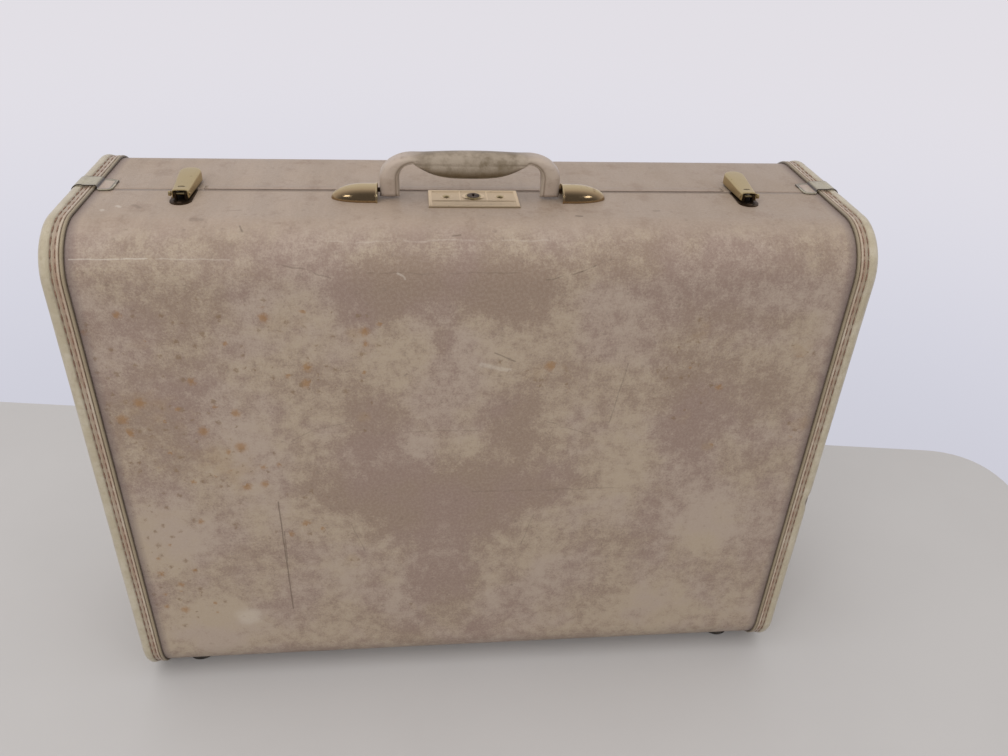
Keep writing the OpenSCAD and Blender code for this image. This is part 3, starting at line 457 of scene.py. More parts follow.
def leather(name, colour, dirt_and_shade, worn, roughness, inner=None):
    """Rolled or padded leather: grain, darkening along seams and channels as soiling with painted shade, pale
    lines as wear with painted highlights, and an inner tone.
    """
    nodes = Finish(name)
    spot = nodes.object_place()
    patch = nodes.ranged(nodes.cloudy(spot, 45, 4, 0.65), 0.42, 0.66)
    if inner:
        colour = nodes.mix(nodes.attribute("inner"), colour, inner)
    shade = nodes.mix(patch, colour, worn, 0.55)
    stain = nodes.group("specks", Vector=spot, Density=0.12, Scale=95.0, Size=0.5)["Mask"]
    shade = nodes.mix(stain, shade, dirt_and_shade, 0.35)
    creases = nodes.ranged(nodes.cloudy(spot, 210, 4, 0.75), 0.5, 0.72)
    shade = nodes.mix(creases, shade, dirt_and_shade, 0.22)
    shade = nodes.mix(nodes.attribute("rubbed_and_highlight"), shade, worn)
    shade = nodes.mix(nodes.attribute("groove_shade_and_dirt"), shade, dirt_and_shade)
    grain = nodes.group("grain", Vector=spot, Scale=800.0)["Height"]
    grain = nodes.calc("SUBTRACT", grain, nodes.times(creases, 0.8))
    gloss = nodes.ranged(patch, 0.0, 1.0, roughness - 0.06, roughness + 0.1)
    return nodes.finish(shade, gloss, grain, 0.4, 0.0003, {
        "Specular IOR Level": 0.5, "Coat Weight": 0.12, "Coat Roughness": 0.25})


def metal(name, colour, patina, roughness, amount, scale, patina_and_reflection_name=None):
    """Plated or solid metal with patina patches, fine scratches and uneven gloss."""
    nodes = Finish(name)
    spot = nodes.object_place()
    worn = nodes.group("tarnish", Vector=spot, Scale=scale, Amount=amount)
    shade = nodes.mix(worn["Patches"], colour, patina, 0.8)
    pits = nodes.group("specks", Vector=spot, Density=0.25, Scale=420.0, Size=0.45)["Mask"]
    shade = nodes.mix(pits, shade, patina, 0.5)
    gloss = nodes.calc("ADD", nodes.ranged(worn["Lines"], 0.3, 0.7, roughness - 0.04, roughness + 0.08),
                       nodes.times(worn["Patches"], 0.18))
    # The named attribute darkens toward the patina colour: real patina in the lock plate's sunken parts, and
    # a painted reflection of the brown case on the caps' lower front.
    if patina_and_reflection_name:
        deep = nodes.attribute(patina_and_reflection_name)
        shade = nodes.mix(deep, shade, patina)
        gloss = nodes.calc("ADD", gloss, nodes.times(deep, 0.04))
    height = nodes.calc("SUBTRACT", worn["Lines"], pits)
    return nodes.finish(shade, gloss, height, 0.12, 0.0001, {"Metallic": 1.0})


def fibreboard():
    """Pressed brown fibre with short flecks."""
    nodes = Finish("fibreboard")
    spot = nodes.object_place()
    flecks = nodes.cloudy(nodes.vector("MULTIPLY", spot, (1, 4, 2)), 420, 4, 0.8)
    colour = nodes.mix(nodes.ranged(flecks, 0.35, 0.65), srgb(104, 80, 56), srgb(151, 122, 90))
    broad = nodes.ranged(nodes.cloudy(spot, 30, 3, 0.5), 0.4, 0.7)
    colour = nodes.mix(broad, colour, srgb(90, 66, 44), 0.3)
    return nodes.finish(colour, 0.85, flecks, 0.3, 0.0004)


def plywood():
    """Birch ply: long grain on the faces and darker glue lines."""
    nodes = Finish("plywood")
    spot = nodes.object_place()
    grain = nodes.cloudy(nodes.vector("MULTIPLY", spot, (1, 14, 1.2)), 40, 5, 0.65)
    colour = nodes.mix(nodes.ranged(grain, 0.32, 0.68), srgb(150, 112, 72), srgb(200, 165, 120))
    layers = nodes.calc("SINE", nodes.times(nodes.split(spot)[0], 4200))
    colour = nodes.mix(nodes.ranged(layers, 0.75, 1.0, 0, 0.5), colour, srgb(96, 66, 40))
    return nodes.finish(colour, 0.7, grain, 0.25, 0.0003)


def cloth(name, light, shadow, threads, sheen):
    """Plain woven cloth, webbing or elastic."""
    nodes = Finish(name)
    spot = nodes.flat_map()
    weave = nodes.group("weave", Vector=spot, Threads=threads)["Height"]
    slub = nodes.cloudy(nodes.vector("MULTIPLY", spot, (1, 0.12, 1)), 900, 3, 0.7)
    mixed = nodes.calc("ADD", nodes.ranged(weave, -0.6, 0.6, 0, 0.5), nodes.ranged(slub, 0.35, 0.65, 0, 0.5))
    colour = nodes.mix(mixed, shadow, light)
    age = nodes.ranged(nodes.cloudy(spot, 22, 4, 0.6), 0.5, 0.72, 0, 0.35)
    colour = nodes.mix(age, colour, shadow)
    return nodes.finish(colour, 0.88, nodes.calc("ADD", weave, slub), 0.45, 0.0003, {
        "Sheen Weight": sheen, "Sheen Roughness": 0.5})


def rubber():
    """Old dark rubber, dusty and scuffed."""
    nodes = Finish("rubber")
    spot = nodes.object_place()
    dust = nodes.ranged(nodes.cloudy(spot, 160, 5, 0.7), 0.45, 0.7)
    colour = nodes.mix(dust, srgb(38, 33, 30), srgb(96, 88, 80), 0.5)
    gloss = nodes.ranged(dust, 0, 1, 0.6, 0.85)
    return nodes.finish(colour, gloss, nodes.cloudy(spot, 900, 3), 0.3, 0.0003)


def twisted_thread(colour):
    """Twisted thread, faded in places."""
    nodes = Finish("thread")
    spot = nodes.object_place()
    strands = nodes.cloudy(spot, 2600, 2, 0.5)
    fade = nodes.cloudy(spot, 30, 3, 0.5)
    shade = nodes.mix(nodes.ranged(strands, 0.3, 0.7), [0.55 * c for c in colour],
                      [1.35 * c for c in colour])
    shade = nodes.mix(nodes.ranged(fade, 0.45, 0.7, 0, 0.5), shade, srgb(142, 110, 88))
    return nodes.finish(shade, 0.75, strands, 0.5, 0.0002)


def table_cloth(colour):
    """Plain matt surface with a faint unevenness."""
    nodes = Finish("table_cloth")
    spot = nodes.object_place()
    mottle = nodes.ranged(nodes.cloudy(spot, 3, 4, 0.6), 0.3, 0.7)
    shade = nodes.mix(mottle, [c * 0.98 for c in colour], [min(1, c * 1.02) for c in colour])
    return nodes.finish(shade, 0.75, nodes.cloudy(spot, 250, 3, 0.6), 0.08, 0.0005)


LOOKS = {}


def look(name):
    """One of the case's materials, made when it is first asked for."""
    colours = bpy.context.scene.case_colours
    makers = {
        "front_covering": (covering, "front_leathercloth", colours, True),
        "lid_covering": (covering, "lid_leathercloth", colours, False),
        "end_covering": (end_covering, colours),
        # Each leather's dark colour also serves as painted shade beside the piping, along the clips' outlines
        # and under the grip's pad, and its pale colour as a painted highlight along the binding's ridge and
        # the piping's top. The grip's paler main colour and darker inner tone stand in partly for light on
        # its posts and shade on its top.
        "binding": (leather, "binding_leather", colours.binding, srgb(112, 88, 72), srgb(186, 177, 160), 0.34,
                    srgb(160, 138, 118)),
        "piping": (leather, "piping_leather", colours.piping, srgb(78, 66, 50), srgb(150, 136, 112), 0.45),
        "clip": (leather, "clip_enamel", srgb(150, 142, 122), srgb(58, 48, 42), srgb(176, 170, 152), 0.38,
                 srgb(158, 138, 122)),
        "grip": (leather, "grip_leather", colours.grip, srgb(88, 72, 50), srgb(168, 154, 138), 0.42,
                 srgb(106, 92, 72)),
        "thread": (twisted_thread, colours.thread),
        # The caps' patina colour also paints the reflection of the brown case on their lower front.
        "polished": (metal, "polished_brass", colours.polished, srgb(124, 86, 60), 0.12, 0.4, 60, "recess"),
        "aged": (metal, "aged_brass", colours.aged, srgb(136, 119, 92), 0.42, 0.3, 120, "recess"),
        "plain_aged": (metal, "aged_brass_fittings", srgb(192, 174, 131), srgb(124, 106, 76), 0.34, 0.3, 120),
        "dark": (metal, "dark_brass", colours.dark, srgb(44, 36, 30), 0.42, 0.5, 120),
        "steel": (metal, "plated_steel", srgb(168, 166, 162), srgb(104, 92, 80), 0.3, 0.35, 80),
        "fibreboard": (fibreboard,),
        "plywood": (plywood,),
        "lining": (cloth, "lining_cloth", colours.lining, srgb(150, 122, 90), 4200, 0.25),
        "strap": (cloth, "strap_webbing", srgb(158, 132, 102), srgb(116, 92, 68), 2600, 0.15),
        "elastic": (cloth, "elastic_band", srgb(140, 106, 82), srgb(98, 70, 54), 3400, 0.15),
        "rubber": (rubber,),
        "table": (table_cloth, colours.floor),
    }
    if name not in LOOKS:
        maker, *values = makers[name]
        LOOKS[name] = maker(*values)
    return LOOKS[name]


def dress(finish, *nodes):
    """Gives frame nodes one of the case's materials."""
    for node in nodes:
        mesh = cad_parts[node].data
        mesh.materials.clear()
        mesh.materials.append(look(finish))


# Meshes


def new_object(name, data):
    """An object in the scene that holds a mesh, a lamp or a camera."""
    made = bpy.data.objects.new(name, data)
    bpy.context.scene.collection.objects.link(made)
    return made


def add_piece(name, vertices, faces, finish, body, flat=None, values=None):
    """A smooth mesh object with a flat map and named values at its vertices, riding on a body."""
    mesh = bpy.data.meshes.new(name)
    mesh.from_pydata([tuple(v) for v in vertices], [], faces)
    for key, numbers in (values or {}).items():
        mesh.attributes.new(key, "FLOAT", "POINT").data.foreach_set("value", [float(n) for n in numbers])
    if flat is not None:
        layer = mesh.uv_layers.new(name="flat")
        spots = np.array(flat, float)
        index = np.zeros(len(mesh.loops), int)
        mesh.loops.foreach_get("vertex_index", index)
        layer.data.foreach_set("uv", spots[index].ravel())
    mesh.validate()
    mesh.update()
    mesh.materials.append(look(finish))
    mesh.shade_smooth()
    piece = new_object(name, mesh)
    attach(piece, body)
    return piece


def rework(piece, change):
    """Runs a change on a piece's mesh as a bmesh."""
    work = bmesh.new()
    work.from_mesh(piece.data)
    change(work)
    work.to_mesh(piece.data)
    work.free()
    piece.data.update()


def turn_outwards(piece):
    """Turns a closed mesh's faces outwards."""
    rework(piece, lambda work: bmesh.ops.recalc_face_normals(work, faces=work.faces))


def merge_doubles(piece, distance):
    """Joins vertices that lie closer together than a distance."""
    rework(piece, lambda work: bmesh.ops.remove_doubles(work, verts=work.verts, dist=distance))


def face_up(piece, number=0):
    """Turns an open mesh over if its face of that number looks down."""
    if piece.data.polygons[number].normal.z < 0:
        piece.data.flip_normals()


def add_block(work, centre, size):
    """Adds a block to a bmesh."""
    for vertex in bmesh.ops.create_cube(work, size=1.0)["verts"]:
        vertex.co = Vector([c + v * s for c, v, s in zip(centre, vertex.co, size)])


def modify(piece, kind, **settings):
    """Live modifier with its settings."""
    modifier = piece.modifiers.new(kind.lower(), kind)
    for key, value in settings.items():
        setattr(modifier, key, value)
    return modifier


def thicken(piece, thickness, offset=-1.0):
    """Live Solidify modifier with even walls."""
    return modify(piece, "SOLIDIFY", thickness=thickness, offset=offset, use_even_offset=True)


def strip_faces(rows, columns, closed_rows=False, closed_columns=False):
    """Quads of a grid whose vertices run row by row."""
    faces = []
    for row in range(rows if closed_rows else rows - 1):
        below = (row + 1) % rows
        for column in range(columns if closed_columns else columns - 1):
            beside = (column + 1) % columns
            faces.append((row * columns + column, row * columns + beside,
                          below * columns + beside, below * columns + column))
    return faces


def tube_faces(rows, columns):
    """Quads round a tube, and a face at each of its ends."""
    faces = strip_faces(rows, columns, closed_columns=True)
    return faces + [tuple(range(columns)), tuple(range((rows - 1) * columns, rows * columns))]


def middle_of(vertices, face):
    """Middle of a quad."""
    return sum((Vector(vertices[i]) for i in face), Vector()) / 4


def smoothstep(low, high, value):
    """Smooth rise from 0 at low to 1 at high, or a fall where high is the lesser."""
    share = np.clip((value - low) / (high - low), 0, 1)
    return share * share * (3 - 2 * share)


def bell(value, place, width, power=2):
    """1 at a place, falling to 0 past a width either side."""
    return math.exp(-((value - place) / width) ** power)


def quarter(steps):
    """Angles of a quarter turn."""
    return [math.pi / 2 * k / steps for k in range(steps + 1)]


def wrap_way(front, straight=4 * MM, bends=15, inset=0.0, extra=()):
    """Stations round one half, upper seam to lower: y, z, outward y, outward z and way gone."""
    side, edge, face = half_planes(front)
    middle = face - side * CORNER_R
    run = abs(middle - edge)
    tall = Z_TOP - Z_BOT - 2 * CORNER_R
    steps = max(1, round(run / straight))
    shares = sorted({k / steps for k in range(steps)} | {abs(y - edge) / run for y in extra})
    stations = [(edge + side * run * k, Z_TOP, 0, 1, run * k) for k in shares]
    for angle in quarter(bends)[:-1]:
        sine, cosine = math.sin(angle), math.cos(angle)
        stations.append((middle + side * CORNER_R * sine, Z_TOP - CORNER_R + CORNER_R * cosine,
                         side * sine, cosine, run + CORNER_R * angle))
    way = run + CORNER_R * math.pi / 2
    tall_steps = max(1, round(tall / straight))
    for k in range(tall_steps):
        share = k / tall_steps
        stations.append((face, Z_TOP - CORNER_R - tall * share, side, 0, way + tall * share))
    way += tall
    for angle in quarter(bends)[:-1]:
        sine, cosine = math.sin(angle), math.cos(angle)
        stations.append((middle + side * CORNER_R * cosine, Z_BOT + CORNER_R - CORNER_R * sine,
                         side * cosine, -sine, way + CORNER_R * angle))
    way += CORNER_R * math.pi / 2
    for k in range(steps + 1):
        share = k / steps
        stations.append((middle - side * run * share, Z_BOT, 0, -1, way + run * share))
    return [(y - inset * ny, z - inset * nz, ny, nz, way) for y, z, ny, nz, way in stations]


def sweep_section(front, section, ends, wobble, seed, straight=4 * MM):
    """Sweeps (outward, x, play) points round one half. Returns vertices, faces and the flat map."""
    stations = wrap_way(front, straight, 24)
    vertices = []
    flat = []
    for y, z, ny, nz, way in stations:
        along = 0.0
        for number, (out, x, play) in enumerate(section):
            lift = play * wobble * noise.noise(Vector((seed + way * 22, x * 40, out * 60)))
            lift += play * wobble * 0.6 * noise.noise(Vector((seed + 9 + way * 90, x * 90, 3)))
            vertices.append((ends * x, y + ny * (out + lift), z + nz * (out + lift)))
            flat.append((way, along))
            if number + 1 < len(section):
                along += math.dist(section[number][:2], section[number + 1][:2])
    return vertices, tube_faces(len(stations), len(section)), flat


# The covering

# Clouds of the print either side of its fold line, as distance from it, height, half width,
# half height and weight, in mm. A positive weight is pale and a negative one is dark.
FOLDED_CLOUDS = [
    (52, 414, 40, 20, -1.5), (8, 424, 44, 11, -1.2), (0, 402, 26, 12, -0.3), (48, 392, 22, 9, -0.9),
    (0, 366, 9, 14, -1.3), (30, 362, 36, 32, 0.7), (92, 346, 20, 14, -0.4), (56, 300, 24, 30, -1.0),
    (0, 306, 26, 34, 0.35), (22, 276, 15, 13, 0.75), (0, 291, 8, 9, -0.5), (104, 310, 22, 26, 0.35),
    (98, 286, 24, 9, 0.5), (62, 228, 66, 27, -1.2), (0, 222, 60, 34, -1.1), (30, 186, 28, 20, -1.0),
    (55, 163, 12, 8, 0.5), (8, 112, 22, 44, -0.6), (44, 112, 8, 44, 0.6), (64, 128, 11, 40, -0.4),
    (88, 118, 9, 44, 0.45), (112, 130, 14, 40, -0.35), (150, 205, 20, 40, 0.6), (205, 312, 34, 46, -0.55),
    (238, 178, 26, 34, 0.9), (242, 178, 40, 62, 0.35), (178, 150, 18, 30, -0.3), (190, 90, 16, 18, 0.9),
    (262, 300, 24, 50, -0.3), (215, 395, 46, 26, -0.45), (130, 395, 30, 26, 0.3), (228, 62, 50, 30, 0.6),
    (130, 62, 40, 30, 0.4), (30, 56, 60, 16, -0.1), (150, 335, 26, 34, 0.25),
]
# Clouds and rust that are not mirrored, with x in place of the distance
# Two entries are shading rather than print: the broad pale cloud at (-25, 110) lightens the lower front
# panel, painted light from the floor, and the dark cloud at (190, 438) darkens the right of the bend, painted
# shade.
SINGLE_CLOUDS_AND_SHADING = [
    (-182, 300, 30, 52, 0.6), (-266, 185, 26, 46, 0.7), (128, 290, 24, 90, 0.4), (-240, 72, 50, 34, 0.8),
    (-215, 190, 30, 40, 0.45), (172, 285, 26, 46, -0.45), (222, 172, 20, 46, 0.5), (-150, 370, 60, 22, 0.3),
    (262, 280, 30, 60, -0.1), (-120, 405, 30, 14, 0.25), (-25, 110, 280, 80, 0.1), (190, 70, 80, 40, 0.35),
    (-275, 240, 20, 30, -0.3), (190, 438, 90, 22, -0.5), (-25, 26, 150, 18, -0.3),
]
RUST_PLACES = [
    (-235, 285, 60, 52, 0.5), (-265, 345, 36, 42, 0.34), (-195, 250, 26, 26, 0.55), (-225, 385, 70, 26, 0.3),
    (-270, 200, 30, 40, 0.4), (-215, 195, 34, 26, 0.28), (-130, 385, 40, 22, 0.42), (-85, 375, 14, 18, 0.6),
    (-120, 345, 50, 26, 0.3), (-140, 190, 26, 40, 0.36), (-105, 150, 8, 8, 0.8), (-262, 140, 34, 30, 0.34),
    (55, 342, 26, 12, 0.75), (88, 325, 16, 18, 0.34), (176, 378, 12, 14, 0.6), (165, 350, 20, 24, 0.3),
    (172, 298, 10, 14, 0.6), (188, 322, 10, 14, 0.5), (260, 362, 12, 12, 0.85), (277, 285, 12, 12, 0.8),
    (200, 265, 7, 7, 0.95), (-88, 303, 8, 8, 0.7), (-52, 85, 5, 5, 0.8), (-250, 95, 30, 30, 0.2),
]


def field_of(marks, across, height):
    """Sum of flat-topped marks at every vertex."""
    total = np.zeros_like(across)
    for x, z, half_x, half_z, weight in marks:
        distance = ((across - x) / half_x) ** 2 + ((height - z) / half_z) ** 2
        total += weight * np.exp(-distance ** 1.6)
    return total


def noise_field(across, way, scale, seed):
    """Noise at every vertex."""
    return np.array([noise.noise(Vector((u * scale, v * scale, seed))) for u, v in zip(across, way)])


def build_cover(front):
    """One half's covering, with the fields that its print, its stains and its painted shade follow."""
    stations = wrap_way(front)
    columns = np.linspace(-X_END, X_END, 153)
    way = np.repeat([s[4] for s in stations], len(columns))
    across = np.tile(columns, len(stations))
    y, z, ny, nz = (np.repeat([s[k] for s in stations], len(columns)) for k in range(4))
    upright = smoothstep(0.2, 0.9, np.abs(ny)) * (1 - smoothstep(0.27, 0.285, np.abs(across)))
    sway = noise_field(across, way, 7, 3.1 if front else 8.7)
    ripple = noise_field(across, way, 42, 5.0)
    lift = upright * (0.35 * sway + 0.05 * ripple - 0.15) * MM
    vertices = np.stack([across, y + ny * lift, z + nz * lift], 1)
    high = z / MM
    flat_x = across / MM
    gone = way / MM
    drift = noise_field(np.abs(across + FOLD_X * MM), way, 13, 1.5)
    pale = 0.55 * drift - 0.05
    rust = np.zeros_like(across)
    if front:
        face = smoothstep(50, 100, gone) * (ny < 0)
        from_fold = np.abs(flat_x + FOLD_X)
        pale += face * (field_of(FOLDED_CLOUDS, from_fold, high) + field_of(SINGLE_CLOUDS_AND_SHADING, flat_x, high))
        band = smoothstep(62, 76, gone) * smoothstep(96, 91, gone)
        pale -= band * (0.02 + 0.2 * np.exp(-((from_fold - 62) / 26) ** 4))
        rust += face * field_of(RUST_PLACES, flat_x, high)
        worn_top = 1 - smoothstep(56, 84, gone)
    else:
        rust += 0.3 * smoothstep(0.1, 0.5, drift) * np.abs(ny)
        worn_top = 1 - smoothstep(70, 92, gone)
    # Darker beside the bindings and along the seam: painted shade beside the piping and in the seam's gap,
    # with soiling.
    shade_and_grime = 1 - smoothstep(16.5 * MM, 23.5 * MM, X_END - np.abs(across))
    near_seam = np.minimum(way, stations[-1][4] - way)
    shade_and_grime = np.maximum(shade_and_grime, 0.3 * (1 - smoothstep(0.2 * MM, 3.6 * MM, near_seam)))
    name = "front_covering" if front else "lid_covering"
    piece = add_piece(name, vertices, strip_faces(len(stations), len(columns)), name, body_of(front),
                      np.stack([across, way], 1),
                      {"pale": pale, "rust": np.clip(rust, 0, 1), "top": worn_top, "shade_and_grime": shade_and_grime})
    face_up(piece)
    thicken(piece, 0.8 * MM)
    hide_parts("front_cover" if front else "back_cover")


class TRAVEL_CASE_OT_covering(bpy.types.Operator):
    """Covering of both halves: printed leathercloth with clouds, rust and scratches"""
    bl_idname = "travel_case.covering"
    bl_label = "Covering"

    def execute(self, context):
        build_cover(True)
        build_cover(False)
        dress("end_covering", "front_end_cover_left", "front_end_cover_right", "back_end_cover_left",
              "back_end_cover_right")
        return {"FINISHED"}


# Bindings, piping and stitches

BINDING_T = 2 * MM
BAND_X = 290 * MM
ROW_IN_X = 292.6 * MM
ROW_OUT_X = 295.8 * MM
ROLL_FROM_X = 296.75 * MM
PIPING_X = 288.4 * MM
STITCH_SINK = 1.35 * MM
STITCH_START = 4.0 * MM
STITCH_END = 4.8 * MM

# Where the right-hand binding is torn, how far along it, and how deep it is pressed in
TEAR_X = 296.5 * MM
TEAR_Z = 200 * MM
TEAR_REACH = 7 * MM
TEAR_DEPTH = 1.4 * MM


def roll_arc(sizes, radius, start_x):
    """(outward, x) over the rolled edge, from its inner side to its outermost line."""
    roll_x = X_END + BINDING_T - sizes.roll_radius
    first = math.acos((start_x - roll_x) / radius)
    angles = [first * (1 - k / 16) for k in range(17)]
    return [(radius * math.sin(angle) - sizes.roll_sink, roll_x + radius * math.cos(angle))
            for angle in angles]


def binding_section(sizes):
    """(outward, x, play) round the binding, from its inner edge over the roll to the side leg."""
    band = [(0.0, 290.0, 0), (1.2, 290.0, 0), (1.7, 290.25, 0.5), (1.95, 290.8, 1), (2.0, 291.5, 1),
            (1.6, 292.0, 1), (1.38, 292.4, 1), (1.38, 292.8, 1), (1.5, 293.3, 1), (1.6, 294.0, 1),
            (1.55, 294.7, 1), (1.4, 295.2, 1), (1.3, 295.6, 1), (1.32, 296.0, 1), (1.6, 296.4, 1)]
    section = [(out * MM, x * MM, play) for out, x, play in band]
    section += [(out, x, 1.6) for out, x in roll_arc(sizes, sizes.roll_radius, ROLL_FROM_X)]
    side = X_END + BINDING_T
    reach = -sizes.binding_side
    section += [(-sizes.roll_sink + share * (reach + sizes.roll_sink), side, 0) for share in (0.35, 0.7)]
    return section + [(reach + 1.2 * MM, side, 0), (reach + 0.4 * MM, side - 0.3 * MM, 0),
                      (reach, side - 1.0 * MM, 0), (reach, X_END, 0), (0.0, X_END, 0)]


class TRAVEL_CASE_OT_bindings(bpy.types.Operator):
    """Rolled leather bindings at both ends of each half, with their two stitch grooves"""
    bl_idname = "travel_case.bindings"
    bl_label = "Bindings"

    def execute(self, context):
        section = binding_section(context.scene.case_sizes)
        for front in (True, False):
            for ends, side in ENDS:
                name = f"{'front' if front else 'back'}_binding_{side}"
                vertices, faces, flat = sweep_section(front, section, ends, 0.22 * MM, 3 * ends + front,
                                                      3 * MM)
                if front and ends == 1:
                    vertices = [torn(v) for v in vertices]
                reach = [abs(v[0]) for v in vertices]
                groove_shade_and_dirt = [self.groove_shade_and_dirt(x) for x in reach]
                inner = [smoothstep(294.6 * MM, 294.2 * MM, x) for x in reach]
                # A pale line along the ridge at the inner band's edge: painted highlight, with wear from
                # rubbing.
                rubbed_and_highlight = [0.35 * bell(x, 290.9 * MM, 0.5 * MM) for x in reach]
                piece = add_piece("visual_" + name, vertices, faces, "binding", body_of(front), flat,
                                  {"groove_shade_and_dirt": groove_shade_and_dirt, "inner": inner, "rubbed_and_highlight": rubbed_and_highlight})
                turn_outwards(piece)
                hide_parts(name)
        return {"FINISHED"}

    @staticmethod
    def groove_shade_and_dirt(across):
        """How dark a place is painted, by its distance from the middle: darkest in the two stitch rows, and a
        painted shadow line at the binding's inner edge by the piping.
        """
        return max(0.6 * bell(across, ROW_IN_X, 0.6 * MM),
                   0.8 * bell(across, ROW_OUT_X, 0.6 * MM),
                   0.35 * bell(across, 0.5 * (ROW_IN_X + ROW_OUT_X), 1.4 * MM, 4),
                   0.7 * bell(across, BAND_X, 0.35 * MM))


def torn(vertex):
    """Presses the roll in where the right-hand binding is torn, a little over half way down."""
    reach = bell(vertex[2], TEAR_Z, TEAR_REACH)
    if vertex[0] > TEAR_X and vertex[1] < Y_FRONT + 8 * MM and reach > 0.02:
        dent = TEAR_DEPTH * reach
        return (vertex[0] - dent, vertex[1] + dent * 0.6, vertex[2])
    return vertex


class TRAVEL_CASE_OT_piping(bpy.types.Operator):
    """Piping cord beside each binding"""
    bl_idname = "travel_case.piping"
    bl_label = "Piping"

    def execute(self, context):
        radius = context.scene.case_sizes.piping_radius
        angles = [2 * math.pi * k / 12 for k in range(12)]
        section = [(max(0.05 * MM, 0.5 * MM + radius * math.sin(angle)),
                    PIPING_X + radius * math.cos(angle), 0.7) for angle in angles]
        for front in (True, False):
            for ends, side in ENDS:
                name = f"{'front' if front else 'back'}_piping_{side}"
                vertices, faces, flat = sweep_section(front, section, ends, 0.18 * MM, 20 + 5 * ends)
                reach = [abs(v[0]) for v in vertices]
                # Darker on the cord's inner side by the panel: painted shade, with soiling. Paler along its
                # top: painted highlight, with wear from rubbing.
                groove_shade_and_dirt = [0.9 * smoothstep(0.6 * MM, 1.5 * MM, PIPING_X - x) for x in reach]
                rubbed_and_highlight = [0.5 * smoothstep(1.0 * MM, 0.2 * MM, abs(x - PIPING_X - 0.5 * MM)) for x in reach]
                piece = add_piece("visual_" + name, vertices, faces, "piping", body_of(front), flat,
                                  {"groove_shade_and_dirt": groove_shade_and_dirt, "rubbed_and_highlight": rubbed_and_highlight})
                turn_outwards(piece)
                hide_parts(name)
        return {"FINISHED"}


def stitch_tree():
    """Geometry nodes that lay stitches along the edges of a mesh line."""
    nodes = Nodes(bpy.data.node_groups.new("Stitches along a line", "GeometryNodeTree"))
    face = nodes.tree.interface
    face.new_socket("Geometry", in_out="INPUT", socket_type="NodeSocketGeometry")
    for label, value in (("Pitch", 9.4 * MM), ("Length", 7.4 * MM), ("Width", 1.3 * MM),
                         ("Unevenness", 0.1)):
        face.new_socket(label, in_out="INPUT", socket_type="NodeSocketFloat").default_value = value
    face.new_socket("Seed", in_out="INPUT", socket_type="NodeSocketInt").default_value = 4
    face.new_socket("Material", in_out="INPUT", socket_type="NodeSocketMaterial")
    face.new_socket("Geometry", in_out="OUTPUT", socket_type="NodeSocketGeometry")
    given = nodes.add("NodeGroupInput")
    line = nodes.add("GeometryNodeMeshToCurve", {"Mesh": given["Geometry"]})
    spaced = nodes.add("GeometryNodeResampleCurve", {"Curve": line[0], "Length": given["Pitch"]},
                       mode="LENGTH")
    tangent = nodes.add("GeometryNodeInputTangent")[0]
    normal = nodes.vector("CROSS_PRODUCT", tangent, (1, 0, 0))
    along = nodes.add("FunctionNodeAlignRotationToVector", {"Vector": tangent}, axis="X")
    turned = nodes.add("FunctionNodeAlignRotationToVector", {"Rotation": along[0], "Vector": normal},
                       axis="Z", pivot_axis="X")
    ball = nodes.add("GeometryNodeMeshUVSphere", {"Segments": 6, "Rings": 4, "Radius": 0.5})
    size = nodes.join(given["Length"], given["Width"], nodes.times(given["Width"], 0.8))
    stitch = nodes.add("GeometryNodeTransform", {"Geometry": ball[0], "Scale": size})
    # Inputs 2 and 3 and output 1 are the float ones of Random Value
    varied = nodes.add("FunctionNodeRandomValue",
                       {2: nodes.calc("SUBTRACT", 1.0, given["Unevenness"]),
                        3: nodes.calc("ADD", 1.0, given["Unevenness"]), "Seed": given["Seed"]},
                       data_type="FLOAT")
    laid = nodes.add("GeometryNodeInstanceOnPoints",
                     {"Points": spaced[0], "Instance": stitch[0], "Rotation": turned[0], "Scale": varied[1]})
    real = nodes.add("GeometryNodeRealizeInstances", {0: laid[0]})
    painted = nodes.add("GeometryNodeSetMaterial", {"Geometry": real[0], "Material": given["Material"]})
    nodes.add("NodeGroupOutput", {0: painted[0]})
    return nodes.tree


def run_tree(name, mesh, tree, settings, body):
    """Runs a node tree on a mesh and keeps its result as a plain mesh piece."""
    source = new_object(name + "_line", mesh)
    modifier = modify(source, "NODES", node_group=tree)
    for item in tree.interface.items_tree:
        if item.in_out == "INPUT" and item.name in settings:
            modifier[item.identifier] = settings[item.name]
    depsgraph = bpy.context.evaluated_depsgraph_get()
    depsgraph.update()
    made = bpy.data.meshes.new_from_object(source.evaluated_get(depsgraph))
    source.modifiers.remove(modifier)
    bpy.data.objects.remove(source)
    made.name = name
    made.shade_smooth()
    piece = new_object(name, made)
    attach(piece, body)
    return piece


class TRAVEL_CASE_OT_stitches(bpy.types.Operator):
    """Two rows of stitches along each binding"""
    bl_idname = "travel_case.stitches"
    bl_label = "Stitches"

    def execute(self, context):
        sizes = context.scene.case_sizes
        tree = stitch_tree()
        for front in (True, False):
            stations = wrap_way(front, 4 * MM, 24, -STITCH_SINK)
            last = stations[-1][4] - STITCH_END
            row = [(y, z) for y, z, _, _, way in stations if STITCH_START < way < last]
            if not front:
                row.reverse()
            points = [(x, y, z) for x in (-ROW_OUT_X, -ROW_IN_X, ROW_IN_X, ROW_OUT_X) for y, z in row]
            edges = [(k, k + 1) for k in range(len(points) - 1) if (k + 1) % len(row)]
            mesh = bpy.data.meshes.new("stitch_lines")
            mesh.from_pydata(points, edges, [])
            settings = {"Pitch": sizes.stitch_pitch, "Length": sizes.stitch_length,
                        "Width": sizes.stitch_width, "Unevenness": 0.1, "Seed": 4 + front,
                        "Material": look("thread")}
            piece = run_tree("front_stitches" if front else "lid_stitches", mesh, tree, settings,
                             body_of(front))
        return {"FINISHED"}


# The handle

